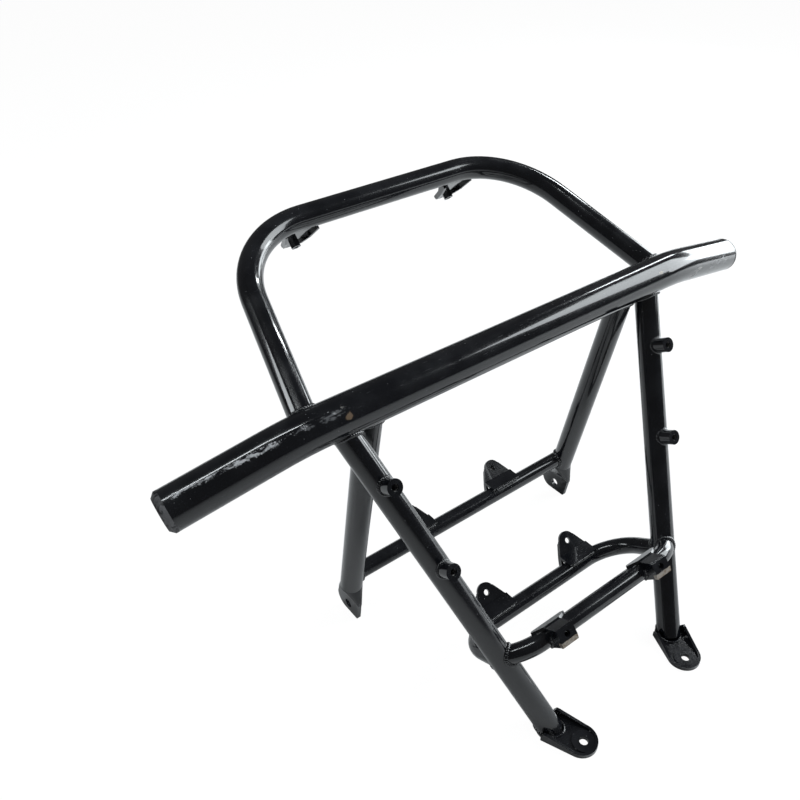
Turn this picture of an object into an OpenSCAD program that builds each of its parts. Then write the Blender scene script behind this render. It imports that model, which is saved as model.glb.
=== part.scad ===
// Tubular steel front bumper for an all terrain vehicle: a bent main bar on four legs, an upper
// hoop, a ring of two bowed tubes round the front legs, a rear cross tube, and stamped tabs,
// brackets and feet. Left and right mirror each other across x = 0. The front is -Y, and the
// origin lies on the floor under the middle of the frame's outer size. All sizes in millimetres.

/* [Tube sizes] */
// Diameter of the main bar (1.5 inch tube)
bar_d = 38.1; // [32:0.1:44]
// Diameter of the legs and the upper hoop (1 inch tube)
leg_d = 25.4; // [20:0.1:30]
// Diameter of the bowed tubes and the rear cross tube (3/4 inch tube)
brace_d = 19.05; // [16:0.05:22]
// Wall of every tube
tube_wall = 2; // [1.2:0.1:3]

/* [Main bar] */
// Height of the bar's axis over the floor
bar_height = 336.5; // [300:1:380]
// Half the width over the end caps, along X
bar_half = 362; // [330:1:400]
// Distance from the middle to the knee of each end
bar_knee = 240; // [225:1:260]
// How steeply the ends drop from the knee, in degrees
bar_drop = 12.2; // [4:0.1:16]
// How far the ends sweep back from the knee, in degrees
bar_sweep = 5.9; // [0:0.1:12]
// Radius of the knee, to the bar's axis
bar_knee_r = 220; // [120:5:260]

/* [End caps] */
// Thickness of the cap outside the bar
cap_thick = 7; // [5:0.5:10]
// Chamfer round the cap's outer edge
cap_chamfer = 4; // [1:0.5:4.5]
// How far the plug reaches into the bar
cap_plug = 14; // [6:1:25]
// Gap between the plug and the inside of the bar
cap_clear = 0.3; // [0.1:0.05:0.6]

/* [Upper hoop] */
// Distance from the middle to each limb where it meets the bar
hoop_foot_x = 228; // [222:1:240]
// Distance from the middle to the corner of the limb's and the top's axes
hoop_top_x = 182; // [165:1:200]
// Distance from the bar's axis to the hoop's top tube
hoop_reach = 227; // [200:1:260]
// Lean of the hoop above the horizontal, in degrees
hoop_lean = 23.5; // [10:0.5:40]
// How far the hoop's plane passes below the bar's axis
hoop_drop = 6; // [0:0.5:8]
// Radius of the top corners, to the tube's axis
hoop_corner_r = 99; // [70:1:110]

/* [Front legs] */
// Distance from the middle to each front leg at the bar
front_top_x = 203; // [196:1:208]
// Distance from the middle to each front leg's axis at the floor
front_floor_x = 93; // [80:0.5:110]
// How far the front legs reach forward of the bar at the floor
front_reach = 183; // [170:0.5:215]
// How far the front legs' axes pass behind the bar's axis
front_set = 5; // [0:0.5:7]

/* [Rear legs] */
// Distance from the middle to each rear leg at the bar
rear_top_x = 166; // [150:1:170]
// Distance from the middle to each rear leg's axis at the floor
rear_floor_x = 168.5; // [160:0.5:180]
// How far the rear legs reach back of the bar at the floor
rear_reach = 71; // [50:0.5:80]
// How far the rear legs' axes pass behind the bar's axis
rear_set = 1; // [0:0.5:4]
// Height over the floor where the rear leg's tube starts to flatten
rear_round_z = 50; // [44:1:56]

/* [Leg bosses] */
// Diameter of the threaded bosses
boss_d = 16; // [13:0.5:18]
// Thread core diameter in the bosses (M8)
boss_bore = 6.8; // [5:0.1:8.5]
// Depth of the thread in the bosses
boss_depth = 12.5; // [8:0.5:13]
// Distance from the leg's axis to the boss's face
boss_reach = 26; // [25.5:0.5:30]
// Distance down the leg from the bar's axis to the upper boss
boss_first = 77; // [60:1:90]
// Spacing of the two bosses along the leg
boss_pitch = 100; // [60:1:110]

/* [Front bowed tube] */
// Distance down the leg from the bar's axis to the front bowed tube
bow_down = 296.5; // [285:1:302]
// Distance from the middle to the corner of the front bowed tube
bow_corner_x = 107; // [104:1:110]
// How far the front bowed tube stands forward of the legs
bow_reach = 21; // [20:0.5:28]
// Rise of its plane toward the front, in degrees
bow_slope = 34; // [28:0.5:38]
// Radius of its bends
bow_bend_r = 44; // [30:1:46]

/* [Rear bowed tube] */
// Distance down the leg from the bar's axis to the rear bowed tube
back_down = 303; // [290:1:308]
// Distance from the middle to the corner of the rear bowed tube
back_corner_x = 115; // [108:1:124]
// How far the rear bowed tube stands behind the legs
back_reach = 77; // [60:1:90]
// Fall of its plane toward the back, in degrees
back_slope = 31.7; // [26:0.1:36]
// Radius of its bends
back_bend_r = 45; // [30:1:55]

/* [Rear cross tube] */
// Height of the cross tube's axis over the floor
cross_z = 60.5; // [58:0.5:80]
// How far the cross tube's axis lies behind the rear legs' axes
cross_set = 4; // [0:0.5:6]

/* [Tabs] */
// Sheet thickness of the tabs
tab_sheet = 3; // [2:0.25:4]
// Distance from the middle to the tabs of the rear bowed tube
back_tab_x = 63; // [50:1:66]
// Distance from the middle to the tabs of the rear cross tube
cross_tab_x = 66; // [50:1:100]
// Distance from the middle to the tabs of the hoop
hoop_tab_x = 104; // [60:1:106]
// Radius of the tab's head round its hole
tab_head_r = 11; // [9.5:0.5:12.5]
// Half width of the tab where it meets the tube
tab_foot_w = 21; // [17:0.5:24]
// Half width of the hoop's tab where it meets the tube
hoop_tab_w = 16; // [13:0.5:20]
// How much longer the hoop's tab is beyond its hole
hoop_tab_long = 6; // [0:0.5:9]
// Distance from the hoop's underside to its tab's hole
hoop_tab_out = 24; // [21:0.5:27]
// Distance from the tube's surface to the tab's hole, along the head
tab_hole_out = 19.5; // [18:0.5:24]
// Distance from the hole to the fold at the tab's foot
tab_fold = 13; // [12:0.5:14.5]
// Lean of the tab's head above the horizontal, in degrees
tab_lean = 41; // [30:1:50]
// Diameter of the tab's hole (M6 clearance)
tab_hole_d = 6.6; // [5.5:0.1:8]
// Depth of the tab's side flanges
tab_flange = 5.5; // [4:0.5:8]
// Slope of the hoop tabs below the horizontal, in degrees
hoop_tab_slope = 42; // [35:1:55]

/* [Weld nuts] */
// Distance across the flats of the weld nuts
nut_flats = 10; // [10:0.5:13]
// Thickness of the weld nuts
nut_thick = 6; // [4:0.5:9]
// Thickness of the longer weld nuts on the hoop
long_nut = 7; // [6:0.5:12]
// Thread core diameter in the weld nuts (M6)
nut_bore = 5; // [4:0.1:5.4]

/* [Brackets] */
// Sheet thickness of the brackets
bracket_sheet = 2.5; // [2:0.25:3]
// Distance from the middle to the middle of each bracket
bracket_x = 69; // [60:1:70]
// Width of each bracket
bracket_w = 21; // [18:0.5:26]
// Distance from the bowed tube's axis to the bracket's face
bracket_out = 23.5; // [20:0.5:28]
// Height of the bracket's face over the middle line of the tube
bracket_up = 7.5; // [6.5:0.5:8.5]
// Depth of the bracket's face under the middle line of the tube
bracket_down = 5.5; // [5.5:0.5:8]
// Length of the turned lip under the face
bracket_lip = 5; // [3:0.5:8]
// Tilt of the bracket's face from upright, in degrees
bracket_tilt = 44; // [35:1:55]
// Diameter of the bracket's hole (M6 clearance)
bracket_hole_d = 6.6; // [5:0.1:8]
// How far the bracket's wing runs along the tube past each side
bracket_wing = 12; // [6:1:18]

/* [Front feet] */
// Sheet thickness of the front feet
foot_sheet = 3; // [2.5:0.25:4]
// Outer width of the front feet
foot_w = 35.5; // [34:0.5:40]
// Distance from the leg's axis at the floor to the foot's hole
foot_hole_out = 34.5; // [29:0.5:38]
// Turn of the front feet toward the middle, in degrees
foot_turn = 23; // [15:0.5:30]
// Height of the foot's flanges at the hole
foot_low = 5; // [4:0.5:7]
// Height of the foot's flanges at the leg
foot_high = 11; // [9:0.5:14]
// Length of the foot's flanges behind the leg's axis at the floor
foot_back = 4; // [0:0.5:8]
// Radius of the foot's round heel under the leg
foot_heel_r = 15.5; // [14:0.5:17]
// Length of the foot in front of its hole
foot_tip = 14; // [12:0.5:17.5]
// Diameter of the foot's hole (M8 clearance)
foot_hole_d = 9; // [8:0.1:11]
// Radius of the raised pad round the foot's hole
foot_pad_r = 12; // [9:0.5:14]
// Height of the raised pad
foot_pad_h = 1.5; // [0.5:0.25:2.5]

/* [Rear feet] */
// Thickness of the flat end pressed from the leg's tube
flat_t = 4.5; // [4:0.25:6]
// Height of the flat end's hole over the floor
flat_hole_z = 12; // [11:0.5:16]
// Diameter of the flat end's hole (M10 clearance)
flat_hole_d = 11; // [10:0.1:13]
// How far the hole stands in front of the leg's axis
flat_hole_y = 3.5; // [0:0.5:5]
// Reach of the flat end in front of the hole
flat_front = 18; // [17:0.5:24]
// Reach of the flat end behind the hole
flat_back = 21; // [17:0.5:24]
// Height over the floor where the flat end starts to swell into the tube
flat_top_z = 30; // [26:1:40]
// Radius of the flat end's front lower corner
flat_front_r = 3; // [2:0.5:11]
// Radius of the flat end's rear lower corner
flat_back_r = 14; // [8:0.5:18]

/* [Hidden] */
$fn = 48;
paint = "#1a1b1e";
plug_black = "#222326";
nut_steel = "#26272a";
// Small overlap that keeps two solids of one piece together
bite = 0.5;
// A straight run laps its bends by this much, a hair outside and inside their skin
lap = 0.8;
hair = 0.02;
// The swell of a pressed end takes up the tube's end in a short collar, this step off its skin
skin = 0.05;
collar = 0.6;
// The bracket's hole lies this far up from the middle line of the tube, to leave its nut clear
bracket_hole_z = -0.2;
// Turns each round rod about its axis, so that its seam stays clear of the corners of a cope
seam_turn = 30;

bar_r = bar_d / 2;
leg_r = leg_d / 2;
brace_r = brace_d / 2;
function inside(r) = r - tube_wall;

// The frame's depth is centred on y = 0: the front foot's round end and the hoop's tab set it.
foot_dir = [-sin(foot_turn), -cos(foot_turn), 0];
foot_round_x = foot_hole_out + foot_tip - foot_w / 2;
front_most = -front_reach + foot_round_x * foot_dir.y - foot_w / 2;
hoop_top_y = hoop_reach * cos(hoop_lean) + hoop_drop * sin(hoop_lean);
hoop_top_z = bar_height + hoop_reach * sin(hoop_lean) - hoop_drop * cos(hoop_lean);
hoop_tab_end = (hoop_tab_out + hoop_tab_long + tab_head_r) * cos(hoop_tab_slope);
bar_y = -(front_most + hoop_top_y + max(leg_r, hoop_tab_end)) / 2;

// Main bar: the middle is straight, and each end leaves the knee along end_dir.
end_dir = unit([1, tan(bar_sweep), -tan(bar_drop)]);
bar_tip = [bar_half, 0, 0] + (bar_half - bar_knee) * [0, tan(bar_sweep), -tan(bar_drop)]
    + [0, bar_y, bar_height];
bar_path = mirrored_path([bar_tip - end_dir * cap_thick, [bar_knee, bar_y, bar_height]]);

// Upper hoop: its plane leans back from the bar and passes hoop_drop below the bar's axis.
hoop_base = [hoop_foot_x, bar_y + hoop_drop * sin(hoop_lean), bar_height - hoop_drop * cos(hoop_lean)];
hoop_top = [hoop_top_x, bar_y + hoop_top_y, hoop_top_z];
hoop_path = mirrored_path([hoop_base, hoop_top]);

// Legs run from the height of the bar's axis down to the floor.
front_top = [front_top_x, bar_y + front_set, bar_height];
front_floor = [front_floor_x, bar_y - front_reach, 0];
front_dir = unit(front_floor - front_top);
rear_top = [rear_top_x, bar_y + rear_set, bar_height];
rear_floor = [rear_floor_x, bar_y + rear_reach, 0];
rear_dir = unit(rear_floor - rear_top);
// The swell starts under the rear cross tube, also where its collar leans up.
swell_top = min(rear_round_z, cross_z - brace_r - 2);
rear_end = rear_top + rear_dir * (bar_height - swell_top) / -rear_dir.z;
// Pressed flat, a tube is half its girth wide.
flat_half = PI * leg_r / 2;
flat_mid = rear_floor.y + rear_dir.y / rear_dir.z * flat_top_z;

// Forward and up, square to the front legs as seen from the side.
leg_out = unit([0, front_dir.z, -front_dir.y]);
bow_base = front_top + front_dir * bow_down;
bow_run = [bow_corner_x, bow_base.y, bow_base.z] + bow_reach * [0, -cos(bow_slope), sin(bow_slope)];
bow_path = mirrored_path([bow_base, bow_run]);
back_base = front_top + front_dir * back_down;
back_run = [back_corner_x, back_base.y, back_base.z]
    + back_reach * [0, cos(back_slope), -sin(back_slope)];
back_path = mirrored_path([back_base, back_run]);

rear_at_cross = rear_top + rear_dir * (bar_height - cross_z) / -rear_dir.z;
cross_axis = [0, rear_at_cross.y + cross_set, cross_z];
cross_end = cross_axis + [rear_at_cross.x, 0, 0];

hoop_axis = [0, hoop_top.y, hoop_top.z];
back_axis = [0, back_run.y, back_run.z];
bow_axis = [0, bow_run.y, bow_run.z];

function unit(v) = v / norm(v);
function flip(p) = [-p.x, p.y, p.z];
// A path given from its right end to its last corner, made whole across x = 0.
function mirrored_path(half) = [
    for (p = half) p,
    for (i = [len(half) - 1 : -1 : 0]) flip(half[i])
];
// One bend of a path: its start, end, centre, axes and angle.
function bend_at(a, b, c, r) =
    let (u = unit(b - a), w = unit(c - b), turn = acos(u * w), reach = r * tan(turn / 2),
         k = unit(cross(u, w)), start = b - u * reach, centre = start + r * cross(k, u))
    [start, b + w * reach, centre, unit(start - centre), u, k, turn];

// Children stand on p with their +Z toward q.
module from_to(p, q) {
    d = unit(q - p);
    translate(p) rotate([0, acos(d.z), atan2(d.y, d.x)]) rotate([0, 0, seam_turn]) children();
}

// A round bar from p to q, or a tube where ri is given.
module round_rod(p, q, ro, ri = 0) {
    from_to(p, q) linear_extrude(height = norm(q - p)) ring(ro, ri);
}

module ring(ro, ri) {
    difference() {
        circle(r = ro);
        if (ri > hair) circle(r = ri);
    }
}

// A tube bent along a path of corners, each rounded to rb.
module bent_tube(path, rb, ro, ri = 0) {
    n = len(path);
    bends = [for (i = [1 : n - 2]) bend_at(path[i - 1], path[i], path[i + 1], rb)];
    for (i = [0 : n - 2]) {
        run = unit(path[i + 1] - path[i]);
        start = i == 0 ? path[0] : bends[i - 1][1] - run * lap;
        end = i == n - 2 ? path[n - 1] : bends[i][0] + run * lap;
        round_rod(start, end, ro + hair, ri - hair);
    }
    for (b = bends) {
        place(b[2], b[3], b[4], b[5]) rotate_extrude(angle = b[6]) translate([rb, 0]) ring(ro, ri);
    }
}

// Children in a frame with its origin at p and its axes along x, y and z.
module place(p, x, y, z) {
    multmatrix([
        [x.x, y.x, z.x, p.x],
        [x.y, y.y, z.y, p.y],
        [x.z, y.z, z.z, p.z],
        [0, 0, 0, 1]
    ]) children();
}

module left_side() { mirror([1, 0, 0]) children(); }

// Solid outlines that the joining pieces are cut to
module bar_outline() { bent_tube(bar_path, bar_knee_r, bar_r); }
// The bar's straight run alone, which the legs meet
module bar_run_outline() {
    knee = bar_path[1];
    round_rod(knee, flip(knee), bar_r + hair);
}
module hoop_outline() { bent_tube(hoop_path, hoop_corner_r, leg_r); }
module back_outline() { bent_tube(back_path, back_bend_r, brace_r); }
module cross_outline() { round_rod(flip(cross_end), cross_end, brace_r); }
module front_leg_outline() { round_rod(front_top, front_floor, leg_r); }
module rear_leg_outline() { round_rod(rear_top, rear_floor, leg_r); }

module main_bar() {
    color(paint) bent_tube(bar_path, bar_knee_r, bar_r, inside(bar_r));
}

// A chamfered cap on a plug. Its flat back closes the bar's cut end.
module end_cap() {
    from_to(bar_path[0], bar_tip) color(plug_black) {
        cylinder(r = bar_r, h = cap_thick - cap_chamfer);
        translate([0, 0, cap_thick - cap_chamfer])
            cylinder(r1 = bar_r, r2 = bar_r - cap_chamfer, h = cap_chamfer);
        translate([0, 0, -cap_plug]) cylinder(r = inside(bar_r) - cap_clear, h = cap_plug + bite);
    }
}

module upper_hoop() {
    color(paint) difference() {
        bent_tube(hoop_path, hoop_corner_r, leg_r, inside(leg_r));
        bar_outline();
    }
}

// The leg's top is cut to the bar, and its foot to the top face of the foot's floor.
module front_leg() {
    color(paint) difference() {
        round_rod(front_top, front_floor, leg_r, inside(leg_r));
        bar_run_outline();
        translate([front_floor.x - 50, front_floor.y - 50, -20]) cube([100, 100, 20 + foot_sheet]);
    }
}

// The rear leg is round down to rear_round_z and pressed flat below, with one crosswise hole.
module rear_leg() {
    color(paint) difference() {
        union() {
            round_rod(rear_top, rear_end, leg_r, inside(leg_r));
            hull() {
                round_rod(rear_end - rear_dir * collar, rear_end + rear_dir * collar, leg_r + 3 * skin);
                flat_slab(flat_t - 2 * skin) translate([flat_mid - flat_half + skin, flat_top_z - 4])
                    square([2 * (flat_half - skin), 4]);
            }
            flat_slab(flat_t) flat_outline();
        }
        bar_run_outline();
        translate([rear_floor.x, rear_floor.y - flat_hole_y, flat_hole_z]) rotate([0, 90, 0])
            cylinder(r = flat_hole_d / 2, h = 3 * flat_t, center = true);
    }
}

// Children are drawn in Y and Z, and stand square to X in the leg's middle
module flat_slab(thick) {
    place([rear_floor.x - thick / 2, 0, 0], [0, 1, 0], [0, 0, 1], [1, 0, 0])
        linear_extrude(height = thick) children();
}

module flat_outline() {
    fore = rear_floor.y - flat_hole_y - flat_front;
    aft = rear_floor.y - flat_hole_y + flat_back;
    polygon([
        [fore + flat_front_r, 0], [aft - flat_back_r, 0], [aft, flat_back_r],
        [flat_mid + flat_half, flat_top_z], [flat_mid - flat_half, flat_top_z], [fore, flat_front_r]
    ]);
    translate([fore + flat_front_r, flat_front_r]) circle(r = flat_front_r);
    translate([aft - flat_back_r, flat_back_r]) circle(r = flat_back_r);
}

module threaded_boss(down) {
    base = front_top + front_dir * down;
    color(paint) difference() {
        round_rod(base, base + leg_out * boss_reach, boss_d / 2);
        front_leg_outline();
        round_rod(base + leg_out * (boss_reach - boss_depth), base + leg_out * (boss_reach + 1), boss_bore / 2);
    }
}

module upper_boss() { threaded_boss(boss_first); }
module lower_boss() { threaded_boss(boss_first + boss_pitch); }

// Stamped channel: a floor with a round end, two flanges and a raised pad round the hole.
module front_foot() {
    side = foot_w / 2;
    place([front_floor.x, front_floor.y, 0], foot_dir, [-foot_dir.y, foot_dir.x, 0], [0, 0, 1])
        color(paint) difference() {
            union() {
                linear_extrude(height = foot_sheet) foot_plan();
                for (s = [-1, 1]) translate([0, s * (side - foot_sheet / 2), 0]) foot_flange();
                foot_lip();
                translate([foot_hole_out, 0, foot_sheet - bite]) cylinder(r = foot_pad_r, h = foot_pad_h + bite);
            }
            translate([foot_hole_out, 0, -1]) cylinder(r = foot_hole_d / 2, h = foot_sheet + foot_pad_h + 2);
        }
}

module foot_plan() {
    translate([-foot_back, -foot_w / 2]) square([foot_back + foot_round_x, foot_w]);
    translate([foot_round_x, 0]) circle(r = foot_w / 2);
    circle(r = foot_heel_r);
}

// The low lip that carries the flanges round the tip
module foot_lip() {
    side = foot_w / 2;
    translate([foot_round_x, 0, 0]) linear_extrude(height = foot_low) difference() {
        circle(r = side);
        circle(r = side - foot_sheet);
        translate([-2 * side, -side]) square([2 * side - bite, 2 * side]);
    }
}

module foot_flange() {
    rotate([90, 0, 0]) translate([0, 0, -foot_sheet / 2]) linear_extrude(height = foot_sheet)
        polygon([
            [-foot_back, 0], [-foot_back, foot_high - 5], [-foot_back + 3, foot_high],
            [2, foot_high], [foot_round_x, foot_low], [foot_round_x, 0]
        ]);
}

module front_bowed_tube() {
    color(paint) difference() {
        bent_tube(bow_path, bow_bend_r, brace_r, inside(brace_r));
        front_leg_outline();
        left_side() front_leg_outline();
    }
}

module rear_bowed_tube() {
    color(paint) difference() {
        bent_tube(back_path, back_bend_r, brace_r, inside(brace_r));
        front_leg_outline();
        left_side() front_leg_outline();
    }
}

module rear_cross_tube() {
    color(paint) difference() {
        round_rod(flip(cross_end), cross_end, brace_r, inside(brace_r));
        rear_leg_outline();
        left_side() rear_leg_outline();
    }
}

// A stamped tab in its own frame: the hole is at the origin, +Y runs up the head, away from the
// tube, and +Z is the face. The sides fold down from the head's sloping edges.
module tab_stamping(seat, foot_w, foot_y, long = 0) {
    side_turn = atan2(foot_w - tab_head_r, tab_fold + tab_head_r / 2);
    difference() {
        union() {
            translate([0, 0, -tab_sheet]) linear_extrude(height = tab_sheet) tab_plan(foot_w, foot_y, long);
            for (s = [-1, 1]) mirror([s < 0 ? 1 : 0, 0, 0]) translate([tab_head_r - 0.4, 4 + long, 0])
                rotate([0, 0, side_turn]) tab_side(seat, long);
        }
        translate([0, 0, -tab_sheet - 1]) cylinder(r = tab_hole_d / 2, h = tab_sheet + 2);
    }
}

module tab_plan(foot_w, foot_y, long) {
    translate([0, long]) circle(r = tab_head_r);
    polygon([
        [-tab_head_r, 4 + long], [-foot_w, -tab_fold], [-foot_w, foot_y],
        [foot_w, foot_y], [foot_w, -tab_fold], [tab_head_r, 4 + long]
    ]);
}

module tab_side(seat, long) {
    reach = -seat.x + 4 + long;
    rotate([90, 0, 90]) translate([0, 0, -tab_sheet]) linear_extrude(height = tab_sheet)
        polygon([
            [0, -bite], [-3, -tab_flange], [-tab_fold - 6, -tab_flange - 1], [-reach, -tab_flange],
            [-reach, seat.y], [-tab_fold - 4, -bite]
        ]);
}

// A tab whose foot lies along the top of a level tube, with its head leaning back. It is cut to
// the tube's outline, its child.
module level_tab(x, axis, tube_r) {
    up = [0, cos(tab_lean), sin(tab_lean)];
    face = [0, -sin(tab_lean), cos(tab_lean)];
    hole = axis + [x, 0, 0] + up * (tube_r + tab_hole_out);
    fold = hole - up * tab_fold;
    color(paint) difference() {
        union() {
            place(hole, [1, 0, 0], up, face)
                tab_stamping([-(tube_r + tab_hole_out), 0], tab_foot_w, -tab_fold);
            translate([x - tab_foot_w, axis.y - 4, axis.z + tube_r - bite])
                cube([2 * tab_foot_w, fold.y - axis.y + 4 + bite, tab_sheet + bite]);
        }
        children();
    }
}

module back_tab() { level_tab(back_tab_x, back_axis, brace_r) back_outline(); }
module cross_tab() { level_tab(cross_tab_x, cross_axis, brace_r) cross_outline(); }

// The hoop's tab hangs down and back from the underside of the top tube.
module hoop_tab() {
    up = [0, cos(hoop_tab_slope), -sin(hoop_tab_slope)];
    face = [0, sin(hoop_tab_slope), cos(hoop_tab_slope)];
    hole = hoop_hole();
    color(paint) difference() {
        place(hole, [-1, 0, 0], up, face)
            tab_stamping([-hoop_tab_out - 4, leg_r * 0.5], hoop_tab_w, -hoop_tab_out - 6, hoop_tab_long);
        hoop_outline();
    }
}

function hoop_hole() = hoop_axis + [hoop_tab_x, 0, -leg_r]
    + [0, cos(hoop_tab_slope), -sin(hoop_tab_slope)] * hoop_tab_out;

module weld_nut(seat, out, thick) {
    color(nut_steel) from_to(seat, seat + out) linear_extrude(height = thick) difference() {
        circle(r = nut_flats / 2 / cos(30), $fn = 6);
        circle(r = nut_bore / 2);
    }
}

module cross_nut() {
    up = [0, cos(tab_lean), sin(tab_lean)];
    back = [0, sin(tab_lean), -cos(tab_lean)];
    weld_nut(cross_axis + [cross_tab_x, 0, 0] + up * (brace_r + tab_hole_out) + back * tab_sheet, back, nut_thick);
}

module hoop_nut() {
    down = [0, -sin(hoop_tab_slope), -cos(hoop_tab_slope)];
    weld_nut(hoop_hole() + down * tab_sheet, down, long_nut);
}

// A folded bracket over the bowed tube. Its own frame has +X along the tube, +Y out through the
// face and +Z up the face, with the tube's axis at the origin.
module bracket_frame() {
    place(bow_axis + [bracket_x, 0, 0], [1, 0, 0],
        [0, -cos(bracket_tilt), sin(bracket_tilt)], [0, -sin(bracket_tilt), -cos(bracket_tilt)])
        mirror([0, 0, 1]) children();
}

module bracket() {
    half = bracket_w / 2;
    color(paint) difference() {
        bracket_frame() difference() {
            union() {
                translate([-half, 0, 0]) rotate([90, 0, 90]) linear_extrude(height = bracket_w) bracket_fold();
                for (x = [-half, half - bracket_sheet])
                    translate([x, 0, 0]) rotate([90, 0, 90]) linear_extrude(height = bracket_sheet) bracket_wall();
                bracket_saddle();
            }
            translate([0, bracket_out + 1, bracket_hole_z]) rotate([90, 0, 0]) cylinder(r = bracket_hole_d / 2, h = bracket_sheet + 2);
        }
        bent_tube(bow_path, bow_bend_r, brace_r);
    }
}

// The strip that makes the lip, the face and the top of the bracket
module bracket_fold() {
    t = bracket_sheet;
    top_in = brace_r - 1;
    polygon([
        [bracket_out - 1.5, -bracket_down - bracket_lip], [bracket_out, -bracket_down],
        [bracket_out, bracket_up - 1.5], [bracket_out - 1.5, bracket_up],
        [0, brace_r + t], [0, top_in],
        [bracket_out - t, bracket_up - t], [bracket_out - t, -bracket_down],
        [bracket_out - t - 1.5, -bracket_down - bracket_lip]
    ]);
}

module bracket_wall() {
    polygon([
        [bracket_out - bite, -bracket_down], [bracket_out - bite, bracket_up - bracket_sheet],
        [0, brace_r], [0, -brace_r + 2], [5, -bracket_down - bracket_lip + 0.5],
        [bracket_out - 2.5, -bracket_down - bracket_lip + 0.5]
    ]);
}

// The wing that spreads along the tube behind the bracket's top
module bracket_saddle() {
    half = bracket_w / 2;
    translate([0, 0, brace_r - 1]) linear_extrude(height = bracket_sheet + 1)
        polygon([
            [-half, 6], [half, 6], [half + bracket_wing, -1], [half + bracket_wing - 3, -4],
            [-half - bracket_wing + 3, -4], [-half - bracket_wing, -1]
        ]);
}

module bracket_nut() {
    out = [0, -cos(bracket_tilt), sin(bracket_tilt)];
    up = [0, sin(bracket_tilt), cos(bracket_tilt)];
    weld_nut(bow_axis + [bracket_x, 0, 0] + out * (bracket_out - bracket_sheet)
        + up * bracket_hole_z, -out, nut_thick);
}

main_bar();
left_side() end_cap();  // end_cap_left
end_cap();  // end_cap_right
upper_hoop();
left_side() hoop_tab();  // hoop_tab_left
hoop_tab();  // hoop_tab_right
left_side() hoop_nut();  // hoop_nut_left
hoop_nut();  // hoop_nut_right
left_side() front_leg();  // front_leg_left
front_leg();  // front_leg_right
left_side() front_foot();  // front_foot_left
front_foot();  // front_foot_right
left_side() upper_boss();  // upper_boss_left
upper_boss();  // upper_boss_right
left_side() lower_boss();  // lower_boss_left
lower_boss();  // lower_boss_right
left_side() rear_leg();  // rear_leg_left
rear_leg();  // rear_leg_right
front_bowed_tube();
left_side() bracket();  // bracket_left
bracket();  // bracket_right
left_side() bracket_nut();  // bracket_nut_left
bracket_nut();  // bracket_nut_right
rear_bowed_tube();
left_side() back_tab();  // back_tab_left
back_tab();  // back_tab_right
rear_cross_tube();
left_side() cross_tab();  // cross_tab_left
cross_tab();  // cross_tab_right
left_side() cross_nut();  // cross_nut_left
cross_nut();  // cross_nut_right
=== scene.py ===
"""Looks for the tubular front bumper: paint, wear, weld beads, threads, light and camera."""

import logging
import math
from dataclasses import dataclass, field, replace
from enum import Enum
from typing import Callable, Iterable, Optional, Sequence

import bpy
import numpy as np
from mathutils import Matrix, Vector


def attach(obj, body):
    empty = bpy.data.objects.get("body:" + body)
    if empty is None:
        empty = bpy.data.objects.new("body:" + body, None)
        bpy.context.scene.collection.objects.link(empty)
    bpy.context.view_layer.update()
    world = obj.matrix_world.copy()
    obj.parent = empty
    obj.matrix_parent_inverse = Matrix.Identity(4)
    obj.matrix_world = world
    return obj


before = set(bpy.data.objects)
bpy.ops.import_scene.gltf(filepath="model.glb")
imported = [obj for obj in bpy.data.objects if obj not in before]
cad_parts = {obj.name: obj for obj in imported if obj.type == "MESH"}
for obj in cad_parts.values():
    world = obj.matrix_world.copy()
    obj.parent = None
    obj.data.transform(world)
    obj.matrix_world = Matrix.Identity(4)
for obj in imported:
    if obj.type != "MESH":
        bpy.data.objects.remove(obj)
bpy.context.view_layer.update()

log = logging.getLogger("bumper")

MM = 0.001
RIGHT = (1.0, 0.0, 0.0)
ROOT = "root"
PAINT_SLOT = "gloss_black_paint"
NUT_SLOT = "painted_nut"


# Geometry in millimetres


def unit(v: np.ndarray) -> np.ndarray:
    """The vector, or each row of an array, over its own length."""
    return v / np.linalg.norm(v, axis=-1, keepdims=True)


def across(direction: np.ndarray) -> tuple[np.ndarray, np.ndarray]:
    """Two unit vectors square to a direction and to each other.

    Args:
        direction: The unit vector they stand on.

    Returns:
        The first and the second vector; direction, first and second are right-handed.
    """
    nearly_upright = 0.9
    helper = np.array([0.0, 0.0, 1.0] if abs(direction[2]) < nearly_upright else RIGHT)
    first = unit(np.cross(helper, direction))
    return first, np.cross(direction, first)


@dataclass(frozen=True)
class Rod:
    """A straight round rod: a point on its axis, its direction and its radius."""

    base: np.ndarray
    direction: np.ndarray
    radius: float

    def skin(self, turns: np.ndarray) -> np.ndarray:
        """Points round the base: base + radius (cos t first + sin t second).

        Args:
            turns: The angles t in radians.

        Returns:
            One point for each angle.
        """
        first, second = across(self.direction)
        ring = np.cos(turns)[:, None] * first + np.sin(turns)[:, None] * second
        return self.base + self.radius * ring


def seam_on_rod(branch: Rod, host: Rod, points: int = 144) -> np.ndarray:
    """The closed line where one rod's skin meets another's.

    Each line of the branch's skin, p + s d, is followed to where its distance from the host's
    axis is the host's radius: the larger root of A s^2 + 2 B s + C = 0, with the parts of p and
    d square to the axis.

    Args:
        branch: The rod that ends on the host; its base is inside the host.
        host: The rod that it is cut to.
        points: How many points the line has.

    Returns:
        An array of points in millimetres.
    """
    turns = np.linspace(0, 2 * np.pi, points, endpoint=False)
    p = branch.skin(turns) - host.base
    p = p - (p @ host.direction)[:, None] * host.direction
    d = branch.direction - (branch.direction @ host.direction) * host.direction
    a, b = d @ d, p @ d
    c = np.einsum("ij,ij->i", p, p) - host.radius**2
    s = (-b + np.sqrt(np.maximum(b * b - a * c, 0))) / a
    return branch.skin(turns) + s[:, None] * branch.direction


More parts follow.
